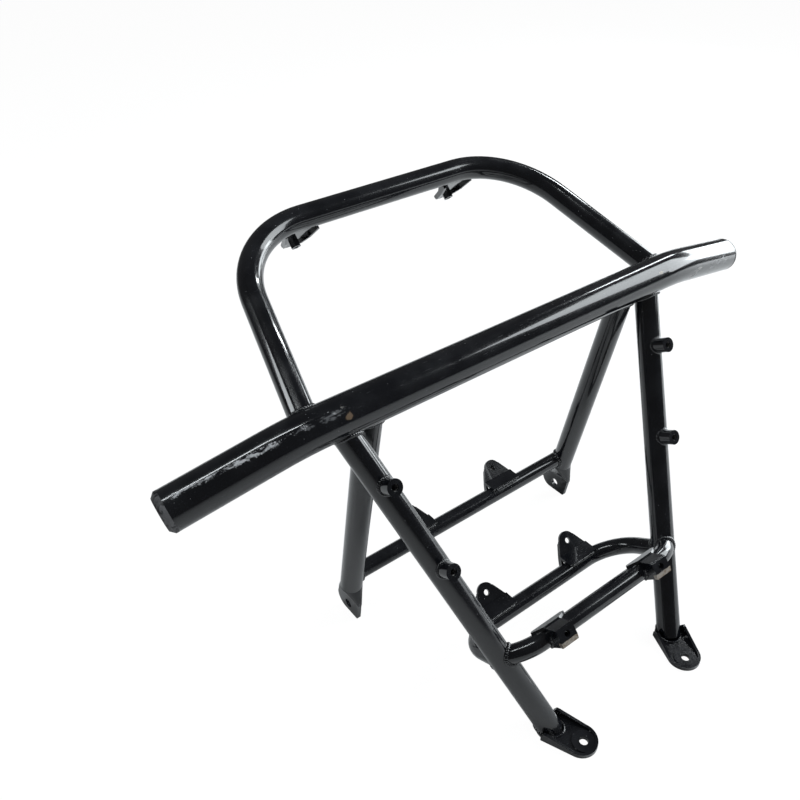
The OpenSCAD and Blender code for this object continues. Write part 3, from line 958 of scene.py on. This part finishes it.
@dataclass(frozen=True)
class FrameSizes:
    """The bumper's own sizes in millimetres, the same values as its solids are built from."""

    bar_r: float = 19.05
    leg_r: float = 12.7
    brace_r: float = 9.525
    bar_height: float = 336.5
    bar_knee: float = 240.0
    bar_drop: float = 12.2
    bar_sweep: float = 5.9
    bar_knee_r: float = 220.0
    hoop_foot_x: float = 228.0
    hoop_top_x: float = 182.0
    hoop_reach: float = 227.0
    hoop_lean: float = 23.5
    hoop_drop: float = 6.0
    front_top_x: float = 203.0
    front_floor_x: float = 93.0
    front_reach: float = 183.0
    front_set: float = 5.0
    rear_top_x: float = 166.0
    rear_floor_x: float = 168.5
    rear_reach: float = 71.0
    rear_set: float = 1.0
    boss_r: float = 8.0
    boss_bore_r: float = 3.4
    boss_depth: float = 12.5
    boss_reach: float = 26.0
    boss_first: float = 77.0
    boss_pitch: float = 100.0
    bow_down: float = 296.5
    bow_corner_x: float = 107.0
    bow_reach: float = 21.0
    bow_slope: float = 34.0
    back_down: float = 303.0
    back_corner_x: float = 115.0
    back_reach: float = 77.0
    back_slope: float = 31.7
    cross_z: float = 60.5
    cross_set: float = 4.0
    foot_sheet: float = 3.0
    foot_w: float = 35.5
    foot_hole_out: float = 34.5
    foot_tip: float = 14.0
    foot_turn: float = 23.0
    tab_foot_w: float = 21.0
    tab_sheet: float = 3.0
    tab_hole_out: float = 19.5
    tab_lean: float = 41.0
    back_tab_x: float = 63.0
    cross_tab_x: float = 66.0
    hoop_tab_x: float = 104.0
    hoop_tab_w: float = 16.0
    hoop_tab_out: float = 24.0
    hoop_tab_long: float = 6.0
    tab_head_r: float = 11.0
    hoop_tab_slope: float = 42.0
    nut_bore_r: float = 2.5
    nut_thick: float = 6.0
    long_nut: float = 7.0
    bracket_x: float = 69.0
    bracket_w: float = 21.0
    bracket_out: float = 23.5
    bracket_down: float = 5.5
    bracket_tilt: float = 44.0

    @property
    def foot_way(self) -> np.ndarray:
        """The direction a right front foot points in."""
        turn = math.radians(self.foot_turn)
        return np.array([-math.sin(turn), -math.cos(turn), 0.0])

    @property
    def bar_y(self) -> float:
        """The bar's place in depth: the object's own depth is centred on y = 0.

        Returns:
            The y of the bar's axis in millimetres.
        """
        round_x = self.foot_hole_out + self.foot_tip - self.foot_w / 2
        front_most = -self.front_reach + round_x * self.foot_way[1] - self.foot_w / 2
        tab_reach = self.hoop_tab_out + self.hoop_tab_long + self.tab_head_r
        rear_most = self.hoop_rise[1] + tab_reach * math.cos(math.radians(self.hoop_tab_slope))
        return -(front_most + rear_most) / 2

    @property
    def hoop_rise(self) -> np.ndarray:
        """The way from the bar's axis to the axis of the hoop's top tube.

        Returns:
            A vector in millimetres.
        """
        lean = math.radians(self.hoop_lean)
        return np.array(
            [
                0.0,
                self.hoop_reach * math.cos(lean) + self.hoop_drop * math.sin(lean),
                self.hoop_reach * math.sin(lean) - self.hoop_drop * math.cos(lean),
            ]
        )

    @property
    def bar(self) -> Rod:
        """The bar's straight run."""
        return Rod(np.array([0.0, self.bar_y, self.bar_height]), np.array(RIGHT), self.bar_r)

    @property
    def bar_knee_rod(self) -> Rod:
        """The right knee of the bar, taken straight where the hoop's limb meets it.

        The knee is an arc of radius bar_knee_r that starts at x = start. Its point at angle t is
        start + radius (sin t along the run + (1 - cos t) to the side that the end turns to).

        Returns:
            The rod along the arc's tangent there.
        """
        sweep, drop = math.radians(self.bar_sweep), math.radians(self.bar_drop)
        end = unit(np.array([1.0, math.tan(sweep), -math.tan(drop)]))
        turn = math.acos(end[0])
        start = self.bar_knee - self.bar_knee_r * math.tan(turn / 2)
        swing = math.asin((self.hoop_foot_x - start) / self.bar_knee_r)
        side = unit(end - np.array([end[0], 0.0, 0.0]))
        run = np.array(RIGHT)
        base = np.array([start, self.bar_y, self.bar_height])
        base = base + self.bar_knee_r * (math.sin(swing) * run + (1 - math.cos(swing)) * side)
        return Rod(base, math.cos(swing) * run + math.sin(swing) * side, self.bar_r)

    @property
    def hoop_limb(self) -> Rod:
        """The right limb of the hoop, from the bar.

        Returns:
            The limb's rod.
        """
        lean = math.radians(self.hoop_lean)
        base = np.array(
            [
                self.hoop_foot_x,
                self.bar_y + self.hoop_drop * math.sin(lean),
                self.bar_height - self.hoop_drop * math.cos(lean),
            ]
        )
        top = np.array([self.hoop_top_x, self.bar_y, self.bar_height]) + self.hoop_rise
        return Rod(base, unit(top - base), self.leg_r)

    @property
    def front_leg(self) -> Rod:
        """The right front leg, from the bar down.

        Returns:
            The leg's rod.
        """
        top = np.array([self.front_top_x, self.bar_y + self.front_set, self.bar_height])
        floor = np.array([self.front_floor_x, self.bar_y - self.front_reach, 0.0])
        return Rod(top, unit(floor - top), self.leg_r)

    @property
    def rear_leg(self) -> Rod:
        """The right rear leg, from the bar down.

        Returns:
            The leg's rod.
        """
        top = np.array([self.rear_top_x, self.bar_y + self.rear_set, self.bar_height])
        floor = np.array([self.rear_floor_x, self.bar_y + self.rear_reach, 0.0])
        return Rod(top, unit(floor - top), self.leg_r)

    @property
    def leg_out(self) -> np.ndarray:
        """Forward and up, square to the front legs as seen from the side."""
        d = self.front_leg.direction
        return unit(np.array([0.0, d[2], -d[1]]))

    def ring_tube(self, down: float, corner_x: float, reach: float, slope: float) -> Rod:
        """The end of a bowed tube at the right front leg, toward its corner.

        Args:
            down: How far down the leg's axis it starts, from the bar.
            corner_x: Where its corner is across the object.
            reach: How far the corner lies from the leg as seen from the side.
            slope: The rise of that way above straight back, in degrees.

        Returns:
            The end's rod.
        """
        base = self.front_leg.base + self.front_leg.direction * down
        turn = math.radians(slope)
        corner = base + reach * np.array([0.0, math.cos(turn), math.sin(turn)])
        corner[0] = corner_x
        return Rod(base, unit(corner - base), self.brace_r)

    @property
    def bow_end(self) -> Rod:
        """The right end of the front bowed tube."""
        return self.ring_tube(self.bow_down, self.bow_corner_x, self.bow_reach, 180 - self.bow_slope)

    @property
    def back_end(self) -> Rod:
        """The right end of the rear bowed tube."""
        return self.ring_tube(self.back_down, self.back_corner_x, self.back_reach, -self.back_slope)

    def run_of(self, end: Rod, reach: float) -> np.ndarray:
        """A point on the axis of a bowed tube's level run, at x = 0.

        Args:
            end: The tube's end at the right leg.
            reach: How far its corner lies from the leg as seen from the side.

        Returns:
            The point.
        """
        side_share = math.hypot(end.direction[1], end.direction[2])
        point = end.base + end.direction * (reach / side_share)
        return np.array([0.0, point[1], point[2]])

    @property
    def bow_run(self) -> np.ndarray:
        """The axis of the front bowed tube's level run."""
        return self.run_of(self.bow_end, self.bow_reach)

    @property
    def back_run(self) -> np.ndarray:
        """The axis of the rear bowed tube's level run."""
        return self.run_of(self.back_end, self.back_reach)

    @property
    def cross_leg(self) -> np.ndarray:
        """The point of the right rear leg's axis that is at the cross tube's height."""
        leg = self.rear_leg
        return leg.base + leg.direction * (self.cross_z - leg.base[2]) / leg.direction[2]

    @property
    def boss_roots(self) -> dict[str, np.ndarray]:
        """Where each right boss's axis leaves the front leg's axis."""
        downs = {"upper": self.boss_first, "lower": self.boss_first + self.boss_pitch}
        leg = self.front_leg
        return {name: leg.base + leg.direction * down for name, down in downs.items()}

    @property
    def cross_run(self) -> np.ndarray:
        """The axis of the rear cross tube, at x = 0."""
        return np.array([0.0, self.cross_leg[1] + self.cross_set, self.cross_z])


SIZES = FrameSizes()
SIDES = {"left": -1.0, "right": 1.0}


def mirrored(points: np.ndarray, side: float) -> np.ndarray:
    """The points on the wanted side; the left side is the right one with x turned round."""
    return points * np.array([side, 1.0, 1.0])


def place_piece(piece: bpy.types.Object, finish: bpy.types.Material) -> None:
    """Gives a piece its finish and the body it rides on.

    Args:
        piece: The new piece.
        finish: Its material.
    """
    outward(piece)
    piece.data.materials.append(finish)
    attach(piece, ROOT)
    log.info("%s: %d faces", piece.name, len(piece.data.polygons))


def outward(piece: bpy.types.Object) -> None:
    """Turns a closed mesh's faces outwards, so that its signed volume is above 0.

    The volume is the sum of a . (b x c) / 6 over the triangles a b c.

    Args:
        piece: The mesh object, which is changed.
    """
    mesh = piece.data
    mesh.calc_loop_triangles()
    co = np.empty(len(mesh.vertices) * 3)
    mesh.vertices.foreach_get("co", co)
    tri = np.empty(len(mesh.loop_triangles) * 3, dtype=np.int32)
    mesh.loop_triangles.foreach_get("vertices", tri)
    a, b, c = (co.reshape(-1, 3)[tri.reshape(-1, 3)[:, k]] for k in range(3))
    if np.einsum("ij,ij->i", a, np.cross(b, c)).sum() < 0:
        mesh.flip_normals()


@dataclass
class Welds:
    """The weld beads at every joint of the tubes, bosses and feet."""

    sizes: FrameSizes
    finish: bpy.types.Material
    bead: WeldBead = field(default_factory=WeldBead)
    boss_bead: WeldBead = field(default_factory=lambda: WeldBead(width=1.7, ripple=1.8))
    foot_bead: WeldBead = field(
        default_factory=lambda: WeldBead(width=1.5, ripple=2.6, depth=0.05)
    )
    first_seed: int = 11

    def seams(self) -> dict[str, tuple[WeldBead, np.ndarray]]:
        """The closed seams on the right side.

        Returns:
            For each name its kind of bead and its line.
        """
        s = self.sizes
        cross_end = Rod(np.array([s.cross_leg[0], *s.cross_run[1:]]), -np.array(RIGHT), s.brace_r)
        found = {
            "weld_hoop": (self.bead, seam_on_rod(s.hoop_limb, s.bar_knee_rod)),
            "weld_front_leg": (self.bead, seam_on_rod(s.front_leg, s.bar)),
            "weld_rear_leg": (self.bead, seam_on_rod(s.rear_leg, s.bar)),
            "weld_front_bow": (self.bead, seam_on_rod(s.bow_end, s.front_leg)),
            "weld_rear_bow": (self.bead, seam_on_rod(s.back_end, s.front_leg)),
            "weld_foot": (self.foot_bead, seam_on_floor(s.front_leg, s.foot_sheet)),
            "weld_cross": (self.bead, seam_on_rod(cross_end, s.rear_leg)),
        }
        for name, root in s.boss_roots.items():
            line = seam_on_rod(Rod(root, s.leg_out, s.boss_r), s.front_leg)
            found[f"weld_{name}_boss"] = (self.boss_bead, line)
        return found

    def build(self) -> None:
        """Lays each bead on both sides, with a seed of its own."""
        for number, (name, (kind, line)) in enumerate(self.seams().items()):
            for side, sign in SIDES.items():
                bead = replace(kind, seed=self.first_seed + 2 * number + (sign > 0))
                place_piece(bead.lay(f"{name}_{side}", mirrored(line, sign)), self.finish)


@dataclass
class TabWelds:
    """The short beads that hold the tabs and brackets to their tubes, and one stray blob.

    Sizes are in millimetres. A bead stops short of the ends of the edge that it runs along.
    The arc's ends are in degrees about the tube's axis, with the number of its points.
    """

    sizes: FrameSizes
    finish: bpy.types.Material
    bead: WeldBead = field(default_factory=lambda: WeldBead(1.8, 1.7, 0.14, 0.35))
    blob: WeldBead = field(default_factory=lambda: WeldBead(2.6, 2.4, 0.14, 0.35, 99))
    first_seed: int = 51
    front_set: float = 4.0
    front_short: float = 3.0
    back_turn: tuple[float, float] = (0.95, 0.30)
    back_short: float = 6.0
    hoop_set: float = 3.5
    hoop_short: float = 2.0
    bracket_arc: tuple[float, float, int] = (-150.0, -235.0, 40)
    level_proud: float = 0.4
    arc_proud: float = 0.3
    blob_gap: float = 7.0
    blob_half: float = 3.0
    blob_set: float = 2.0

    def along_tab(self, x: float, half: float, y: float, z: float) -> np.ndarray:
        """The line from x - half to x + half at one y and z."""
        return straight((x - half, y, z), (x + half, y, z))

    def tab_lines(self, name: str, x: float, axis: np.ndarray) -> dict[str, np.ndarray]:
        """The beads before and behind the foot of a tab that stands on a 3/4 inch tube.

        Args:
            name: The tab's name.
            x: Its place across the object.
            axis: The tube's axis.

        Returns:
            The two lines by name.
        """
        s = self.sizes
        rise = math.sqrt(s.brace_r**2 - self.front_set**2) + self.level_proud
        back, up = (s.brace_r * share for share in self.back_turn)
        front_half, back_half = s.tab_foot_w - self.front_short, s.tab_foot_w - self.back_short
        return {
            f"weld_{name}_front": self.along_tab(
                x, front_half, axis[1] - self.front_set, axis[2] + rise
            ),
            f"weld_{name}_back": self.along_tab(x, back_half, axis[1] + back, axis[2] + up),
        }

    def hoop_line(self) -> np.ndarray:
        """The bead in the corner between the hoop and its tab.

        Returns:
            The line.
        """
        s = self.sizes
        slope = math.radians(s.hoop_tab_slope)
        y = s.hoop_rise[1] + s.bar_y + self.hoop_set * math.cos(slope)
        z = s.hoop_rise[2] + s.bar_height - s.leg_r - self.hoop_set * math.sin(slope)
        return self.along_tab(s.hoop_tab_x, s.hoop_tab_w - self.hoop_short, y, z)

    def bracket_line(self, x: float) -> np.ndarray:
        """The bead round the bowed tube at one wall of a bracket: an arc about the tube's axis.

        Args:
            x: The wall's place across the object.

        Returns:
            The line.
        """
        s = self.sizes
        angle = np.radians(np.linspace(*self.bracket_arc))
        radius = s.brace_r + self.arc_proud
        y, z = s.bow_run[1] + radius * np.cos(angle), s.bow_run[2] + radius * np.sin(angle)
        return np.stack([np.full_like(angle, x), y, z], axis=1)

    def lines(self) -> dict[str, np.ndarray]:
        """The open lines on the right side, by name."""
        s = self.sizes
        return {
            **self.tab_lines("back_tab", s.back_tab_x, s.back_run),
            **self.tab_lines("cross_tab", s.cross_tab_x, s.cross_run),
            "weld_hoop_tab": self.hoop_line(),
            "weld_bracket_inner": self.bracket_line(s.bracket_x - s.bracket_w / 2),
            "weld_bracket_outer": self.bracket_line(s.bracket_x + s.bracket_w / 2),
        }

    def blob_line(self) -> np.ndarray:
        """The stray blob of weld under the front bowed tube, beside the left bracket.

        Returns:
            The line.
        """
        s = self.sizes
        x = -(s.bracket_x + s.bracket_w / 2 + self.blob_gap)
        y, z = s.bow_run[1] - self.blob_set, s.bow_run[2] - s.brace_r + self.level_proud
        return self.along_tab(x, self.blob_half, y, z)

    def build(self) -> None:
        """Lays the stray blob, and each bead on both sides with a seed of its own."""
        blob = self.blob.lay("weld_blob_left", self.blob_line(), closed=False)
        place_piece(blob, self.finish)
        for number, (name, line) in enumerate(self.lines().items()):
            for side, sign in SIDES.items():
                bead = replace(self.bead, seed=self.first_seed + 2 * number + (sign > 0))
                piece = bead.lay(f"{name}_{side}", mirrored(line, sign), closed=False)
                place_piece(piece, self.finish)


@dataclass(frozen=True)
class Thread:
    """One screw thread: its rod from the inner end, its pitch, length and slot."""

    rod: Rod
    pitch: float
    length: float
    slot: str


@dataclass
class Threads:
    """The screw threads in the leg bosses and the weld nuts.

    Sizes are in millimetres. A thread starts and stops a little inside its bore, and crest is
    the radius of the ridge.
    """

    sizes: FrameSizes
    finish: bpy.types.Material
    boss_pitch: float = 1.25
    boss_start: float = 1.0
    boss_stop: float = 1.2
    nut_pitch: float = 1.0
    nut_start: float = 0.5
    nut_stop: float = 0.5
    crest: float = 0.34
    ridge: Sweep = field(default_factory=lambda: Sweep(sides=6))

    def in_nut(self, hole: np.ndarray, face: np.ndarray, thick: float) -> Thread:
        """The thread of a nut behind a tab's hole.

        Args:
            hole: The middle of the hole in the tab's front face.
            face: The way that face looks.
            thick: The nut's thickness.

        Returns:
            The thread.
        """
        s = self.sizes
        start = hole - face * (s.tab_sheet + thick - self.nut_start)
        length = thick - self.nut_start - self.nut_stop
        return Thread(Rod(start, face, s.nut_bore_r), self.nut_pitch, length, NUT_SLOT)

    def threads(self) -> dict[str, Thread]:
        """Each thread on the right side.

        Returns:
            The threads by name.
        """
        s = self.sizes
        found = {}
        for name, root in s.boss_roots.items():
            start = root + s.leg_out * (s.boss_reach - s.boss_depth + self.boss_start)
            rod = Rod(start, s.leg_out, s.boss_bore_r)
            length = s.boss_depth - self.boss_start - self.boss_stop
            found[f"thread_{name}_boss"] = Thread(rod, self.boss_pitch, length, PAINT_SLOT)
        lean = math.radians(s.tab_lean)
        up = np.array([0.0, math.cos(lean), math.sin(lean)])
        face = np.array([0.0, -math.sin(lean), math.cos(lean)])
        hole = s.cross_run + np.array([s.cross_tab_x, 0, 0]) + up * (s.brace_r + s.tab_hole_out)
        found["thread_cross_nut"] = self.in_nut(hole, face, s.nut_thick)
        slope = math.radians(s.hoop_tab_slope)
        down = np.array([0.0, math.cos(slope), -math.sin(slope)])
        face = np.array([0.0, math.sin(slope), math.cos(slope)])
        root = np.array([s.hoop_tab_x, s.bar_y, s.bar_height - s.leg_r]) + s.hoop_rise
        found["thread_hoop_nut"] = self.in_nut(root + down * s.hoop_tab_out, face, s.long_nut)
        return found

    def build(self) -> None:
        """Makes each thread as a ridge that winds round its bore, on both sides."""
        for name, thread in self.threads().items():
            line = helix(thread.rod, thread.pitch, thread.length)
            radius = np.full(len(line), self.crest)
            for side, sign in SIDES.items():
                points, faces = self.ridge.surface(mirrored(line, sign), radius, closed=False)
                place_piece(add_mesh(f"{name}_{side}", points, faces), self.finish)


@dataclass
class BarWear:
    """The worn places on the main bar and its caps, placed to half a millimetre."""

    tan: tuple[float, float, float] = (0.30, 0.20, 0.12)
    pale: tuple[float, float, float] = (0.45, 0.44, 0.42)
    dark: tuple[float, float, float] = (0.004, 0.004, 0.004)
    grey: tuple[float, float, float] = (0.40, 0.41, 0.43)
    dull: tuple[float, float, float] = (0.02, 0.02, 0.022)
    sand: tuple[float, float, float] = (0.50, 0.42, 0.32)
    scuffed: tuple[float, float, float] = (0.26, 0.26, 0.27)

    def bar(self) -> list[Mark]:
        """The bar's marks.

        Returns:
            The marks, from the lowest layer up.
        """
        return [
            Mark(Wear.SCUFF, (-198.0, -20.0, 346.5), (6.5, 3.5, 4.0), self.tan, 0.75),
            Mark(Wear.CHIP, (-141.0, -18.5, 338.5), (4.5, 4.0, 4.0), self.dark, 1.0),
            Mark(Wear.CHIP, (-168.0, -20.5, 338.5), (3.0, 3.0, 2.5), self.dark, 0.9),
            Mark(Wear.RUB, (-199.5, -12.5, 352.5), (4.5, 4.0, 3.0), self.pale, 0.9),
            Mark(Wear.RUB, (-173.5, -14.0, 348.5), (4.0, 4.0, 3.0), self.pale, 0.8),
            Mark(Wear.RUB, (-149.5, -13.5, 347.0), (3.5, 4.0, 3.0), self.pale, 0.8),
            # grey rub at the end of the pale line: rubbed paint with a painted highlight
            Mark(Wear.RUB, (-221.0, -17.0, 350.5), (26.0, 4.0, 4.5), self.grey, 0.35),
            Mark(Wear.DENT, (-83.0, -6.5, 347.0), (17.0, 15.0, 15.0), self.dark, 1.0),
            Mark(Wear.DENT, (-20.0, -7.0, 349.0), (24.0, 12.0, 12.0), self.dark, 0.4),
            Mark(Wear.DENT, (150.0, -9.0, 349.5), (30.0, 12.0, 12.0), self.dark, 0.4),
            Mark(Wear.SMUDGE, (102.0, -8.5, 348.5), (16.0, 9.0, 6.0), self.dull, 0.7),
            Mark(Wear.SCUFF, (203.5, -20.5, 347.5), (4.5, 2.0, 1.8), self.sand, 0.85),
            Mark(Wear.CHIP, (261.5, -21.5, 325.0), (7.0, 4.0, 2.6), self.dark, 0.8),
            Mark(Wear.RUB, (268.5, -22.0, 329.0), (12.0, 4.0, 4.0), self.pale, 0.7),
            Mark(Wear.RUB, (321.0, -16.5, 321.5), (26.0, 10.0, 8.0), self.grey, 0.35),
        ]

    def bar_rubbed_highlight(self) -> list[RubbedHighlightStreak]:
        """The rough pale line on the left third of the bar: rubbed paint with a painted highlight.

        Returns:
            The streaks that it is made of.
        """
        return [
            RubbedHighlightStreak((-353.0, -2.0, 330.5), (-270.0, -14.5, 345.5), 2.2),
            RubbedHighlightStreak((-272.0, -14.5, 345.5), (-208.5, -15.5, 352.0), 2.4),
            RubbedHighlightStreak((-262.0, -18.5, 341.0), (-215.0, -20.5, 345.5), 1.6, strength=0.5),
        ]

    def left_cap(self) -> list[Mark]:
        """The left cap's marks."""
        return [Mark(Wear.SCUFF, (-360.0, -7.0, 317.0), (6.0, 14.0, 12.0), self.scuffed, 0.8)]


@dataclass
class Bumper:
    """The whole bumper: dresses the solids and adds the beads and threads."""

    sizes: FrameSizes = SIZES
    wear: BarWear = field(default_factory=BarWear)
    lip_edge: Grain = Grain(240, 3.0)
    lip_raggedness: float = 2.4

    def bare_lip(self, sheet: ShaderSheet) -> Wire:
        """Bare metal along the bottom of a bracket's face.

        Args:
            sheet: The material's sheet.

        Returns:
            1 where the steel is bare: low down on the face, with a ragged upper edge.
        """
        s = self.sizes
        tilt = math.radians(s.bracket_tilt)
        down = (0.0, -math.sin(tilt), -math.cos(tilt))
        out = (0.0, -math.cos(tilt), math.sin(tilt))
        low_ramp = (s.bracket_down - 0.6, s.bracket_down + 0.4)
        face_ramp = (s.bracket_out - 6.0, s.bracket_out - 5.0)
        ragged = (sheet.noise(self.lip_edge) - 0.5) * self.lip_raggedness
        low = (sheet.along(down, s.bow_run) + ragged).step(*low_ramp)
        return low * sheet.along(out, s.bow_run).step(*face_ramp)

    def dress(self, nodes: dict[str, bpy.types.Object]) -> bpy.types.Material:
        """Gives every solid its finish.

        Args:
            nodes: The solids by name.

        Returns:
            The plain paint, for the beads.
        """
        paint = GlossBlackPaint()
        plain = paint.build("gloss_black")
        special = {
            "main_bar": paint.build("gloss_black_bar", self.wear.bar(), self.wear.bar_rubbed_highlight()),
            "end_cap_left": BlackPlastic(worn=1.0).build("cap_black_rubbed", self.wear.left_cap()),
            "end_cap_right": BlackPlastic(worn=0.3).build("cap_black"),
            "bracket_left": paint.build("gloss_black_lip", bare=self.bare_lip),
        }
        special["bracket_right"] = special["bracket_left"]
        for name, solid in nodes.items():
            finish = special.get(name, plain)
            solid.data.materials.clear()
            solid.data.materials.append(finish)
            log.info("%s: %s", name, finish.name)
        return plain

    def build(self, nodes: dict[str, bpy.types.Object]) -> None:
        """Dresses the solids, lays the beads and makes the threads.

        Args:
            nodes: The solids by name.
        """
        plain = self.dress(nodes)
        Welds(self.sizes, plain).build()
        TabWelds(self.sizes, plain).build()
        Threads(self.sizes, WornThread().build("worn_thread")).build()


# The studio


@dataclass(frozen=True)
class Softbox:
    """A rectangular lamp aimed at the object's middle."""

    name: str
    place: tuple[float, float, float]
    size: tuple[float, float]
    power: float


@dataclass
class Studio:
    """Floor, lamps, world and camera, in metres and degrees; lens and sensor in millimetres."""

    aim: tuple[float, float, float] = (0.0, 0.0, 0.2)
    floor_half: float = 6.0
    floor_white: float = 0.92
    floor_glow: float = 1.12
    floor_glow_share: float = 0.86
    world_on_object: float = 0.055
    daylight: tuple[float, float, float] = (0.92, 0.97, 1.0)
    softboxes: tuple[Softbox, ...] = (
        Softbox("window", (2.3, -0.9, 1.5), (1.5, 2.0), 44.0),
        Softbox("low_card", (2.5, 0.1, 0.6), (1.5, 1.1), 30.0),
        Softbox("strip", (2.0, 0.7, 1.7), (0.07, 0.8), 5.0),
        Softbox("left_card", (-1.9, 1.2, 1.5), (0.35, 1.2), 7.0),
        Softbox("top_strip", (-0.5, 0.2, 2.4), (0.12, 1.6), 9.0),
    )
    camera_place: tuple[float, float, float] = (-0.473716, -0.479378, 0.747493)
    camera_yaw: float = 54.4263
    camera_pitch: float = 35.9379
    camera_roll: float = -1.9828
    camera_lens: float = 36.0
    camera_sensor: float = 36.0
    camera_range: tuple[float, float] = (0.01, 50.0)

    def build(self) -> None:
        """Sets up the whole studio."""
        self.floor()
        self.world()
        for box in self.softboxes:
            self.lamp(box)
        self.camera()
        bpy.context.scene.view_settings.view_transform = "Standard"

    def floor(self) -> None:
        """A pale floor that keeps the object's shadow and shows near white to the camera.

        The camera sees floor_glow_share of an even glow over the lit floor, and other rays see
        the lit floor alone.
        """
        h = self.floor_half / MM
        corners = np.array([[-h, -h, 0.0], [h, -h, 0.0], [h, h, 0.0], [-h, h, 0.0]])
        plane = add_mesh("floor", corners, [[0, 1, 2, 3]])
        material = bpy.data.materials.new("pale_floor")
        material.use_nodes = True
        tree = material.node_tree
        tree.nodes.clear()
        diffuse = tree.nodes.new("ShaderNodeBsdfDiffuse")
        diffuse.inputs["Color"].default_value = (*[self.floor_white] * 3, 1.0)
        glow = tree.nodes.new("ShaderNodeEmission")
        glow.inputs["Strength"].default_value = self.floor_glow
        seen = tree.nodes.new("ShaderNodeLightPath")
        share = tree.nodes.new("ShaderNodeMath")
        share.operation = "MULTIPLY"
        share.inputs[1].default_value = self.floor_glow_share
        mix = tree.nodes.new("ShaderNodeMixShader")
        out = tree.nodes.new("ShaderNodeOutputMaterial")
        tree.links.new(seen.outputs["Is Camera Ray"], share.inputs[0])
        tree.links.new(share.outputs[0], mix.inputs[0])
        tree.links.new(diffuse.outputs[0], mix.inputs[1])
        tree.links.new(glow.outputs[0], mix.inputs[2])
        tree.links.new(mix.outputs[0], out.inputs["Surface"])
        plane.data.materials.append(material)

    def world(self) -> None:
        """A white world to the camera, softer on the object."""
        world = bpy.data.worlds.new("studio_white")
        bpy.context.scene.world = world
        world.use_nodes = True
        tree = world.node_tree
        tree.nodes.clear()
        seen = tree.nodes.new("ShaderNodeLightPath")
        glow = tree.nodes.new("ShaderNodeBackground")
        glow.inputs["Color"].default_value = (1.0, 1.0, 1.0, 1.0)
        level = tree.nodes.new("ShaderNodeMapRange")
        level.inputs["To Min"].default_value = self.world_on_object
        level.inputs["To Max"].default_value = 1.0
        out = tree.nodes.new("ShaderNodeOutputWorld")
        tree.links.new(seen.outputs["Is Camera Ray"], level.inputs["Value"])
        tree.links.new(level.outputs[0], glow.inputs["Strength"])
        tree.links.new(glow.outputs[0], out.inputs["Surface"])

    def lamp(self, box: Softbox) -> None:
        """One softbox, aimed at the object's middle.

        Args:
            box: The softbox.
        """
        data = bpy.data.lights.new(box.name, "AREA")
        data.shape = "RECTANGLE"
        data.size, data.size_y = box.size
        data.energy = box.power
        data.color = self.daylight
        lamp = bpy.data.objects.new(box.name, data)
        lamp.location = box.place
        way = Vector(self.aim) - Vector(box.place)
        lamp.rotation_euler = way.to_track_quat("-Z", "Y").to_euler()
        bpy.context.scene.collection.objects.link(lamp)

    def camera(self) -> None:
        """A camera at the photograph's viewing angle, from its yaw, pitch and roll."""
        yaw, pitch, roll = (
            math.radians(a) for a in (self.camera_yaw, self.camera_pitch, self.camera_roll)
        )
        ahead = Vector(
            (math.cos(pitch) * math.cos(yaw), math.cos(pitch) * math.sin(yaw), -math.sin(pitch))
        )
        right = ahead.cross(Vector((0, 0, 1))).normalized()
        up = right.cross(ahead)
        right, up = (
            math.cos(roll) * right + math.sin(roll) * up,
            -math.sin(roll) * right + math.cos(roll) * up,
        )
        data = bpy.data.cameras.new("photo_view")
        data.lens, data.sensor_width = self.camera_lens, self.camera_sensor
        data.sensor_fit = "HORIZONTAL"
        data.clip_start, data.clip_end = self.camera_range
        eye = bpy.data.objects.new("photo_view", data)
        turn = Matrix((right, up, -ahead)).transposed().to_4x4()
        eye.matrix_world = Matrix.Translation(self.camera_place) @ turn
        bpy.context.scene.collection.objects.link(eye)
        bpy.context.scene.camera = eye


def main() -> None:
    """Builds the bumper's looks and the studio, in order."""
    logging.basicConfig(level=logging.INFO, format="%(name)s: %(message)s")
    Bumper().build(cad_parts)
    Studio().build()


if __name__ == "__main__":
    main()
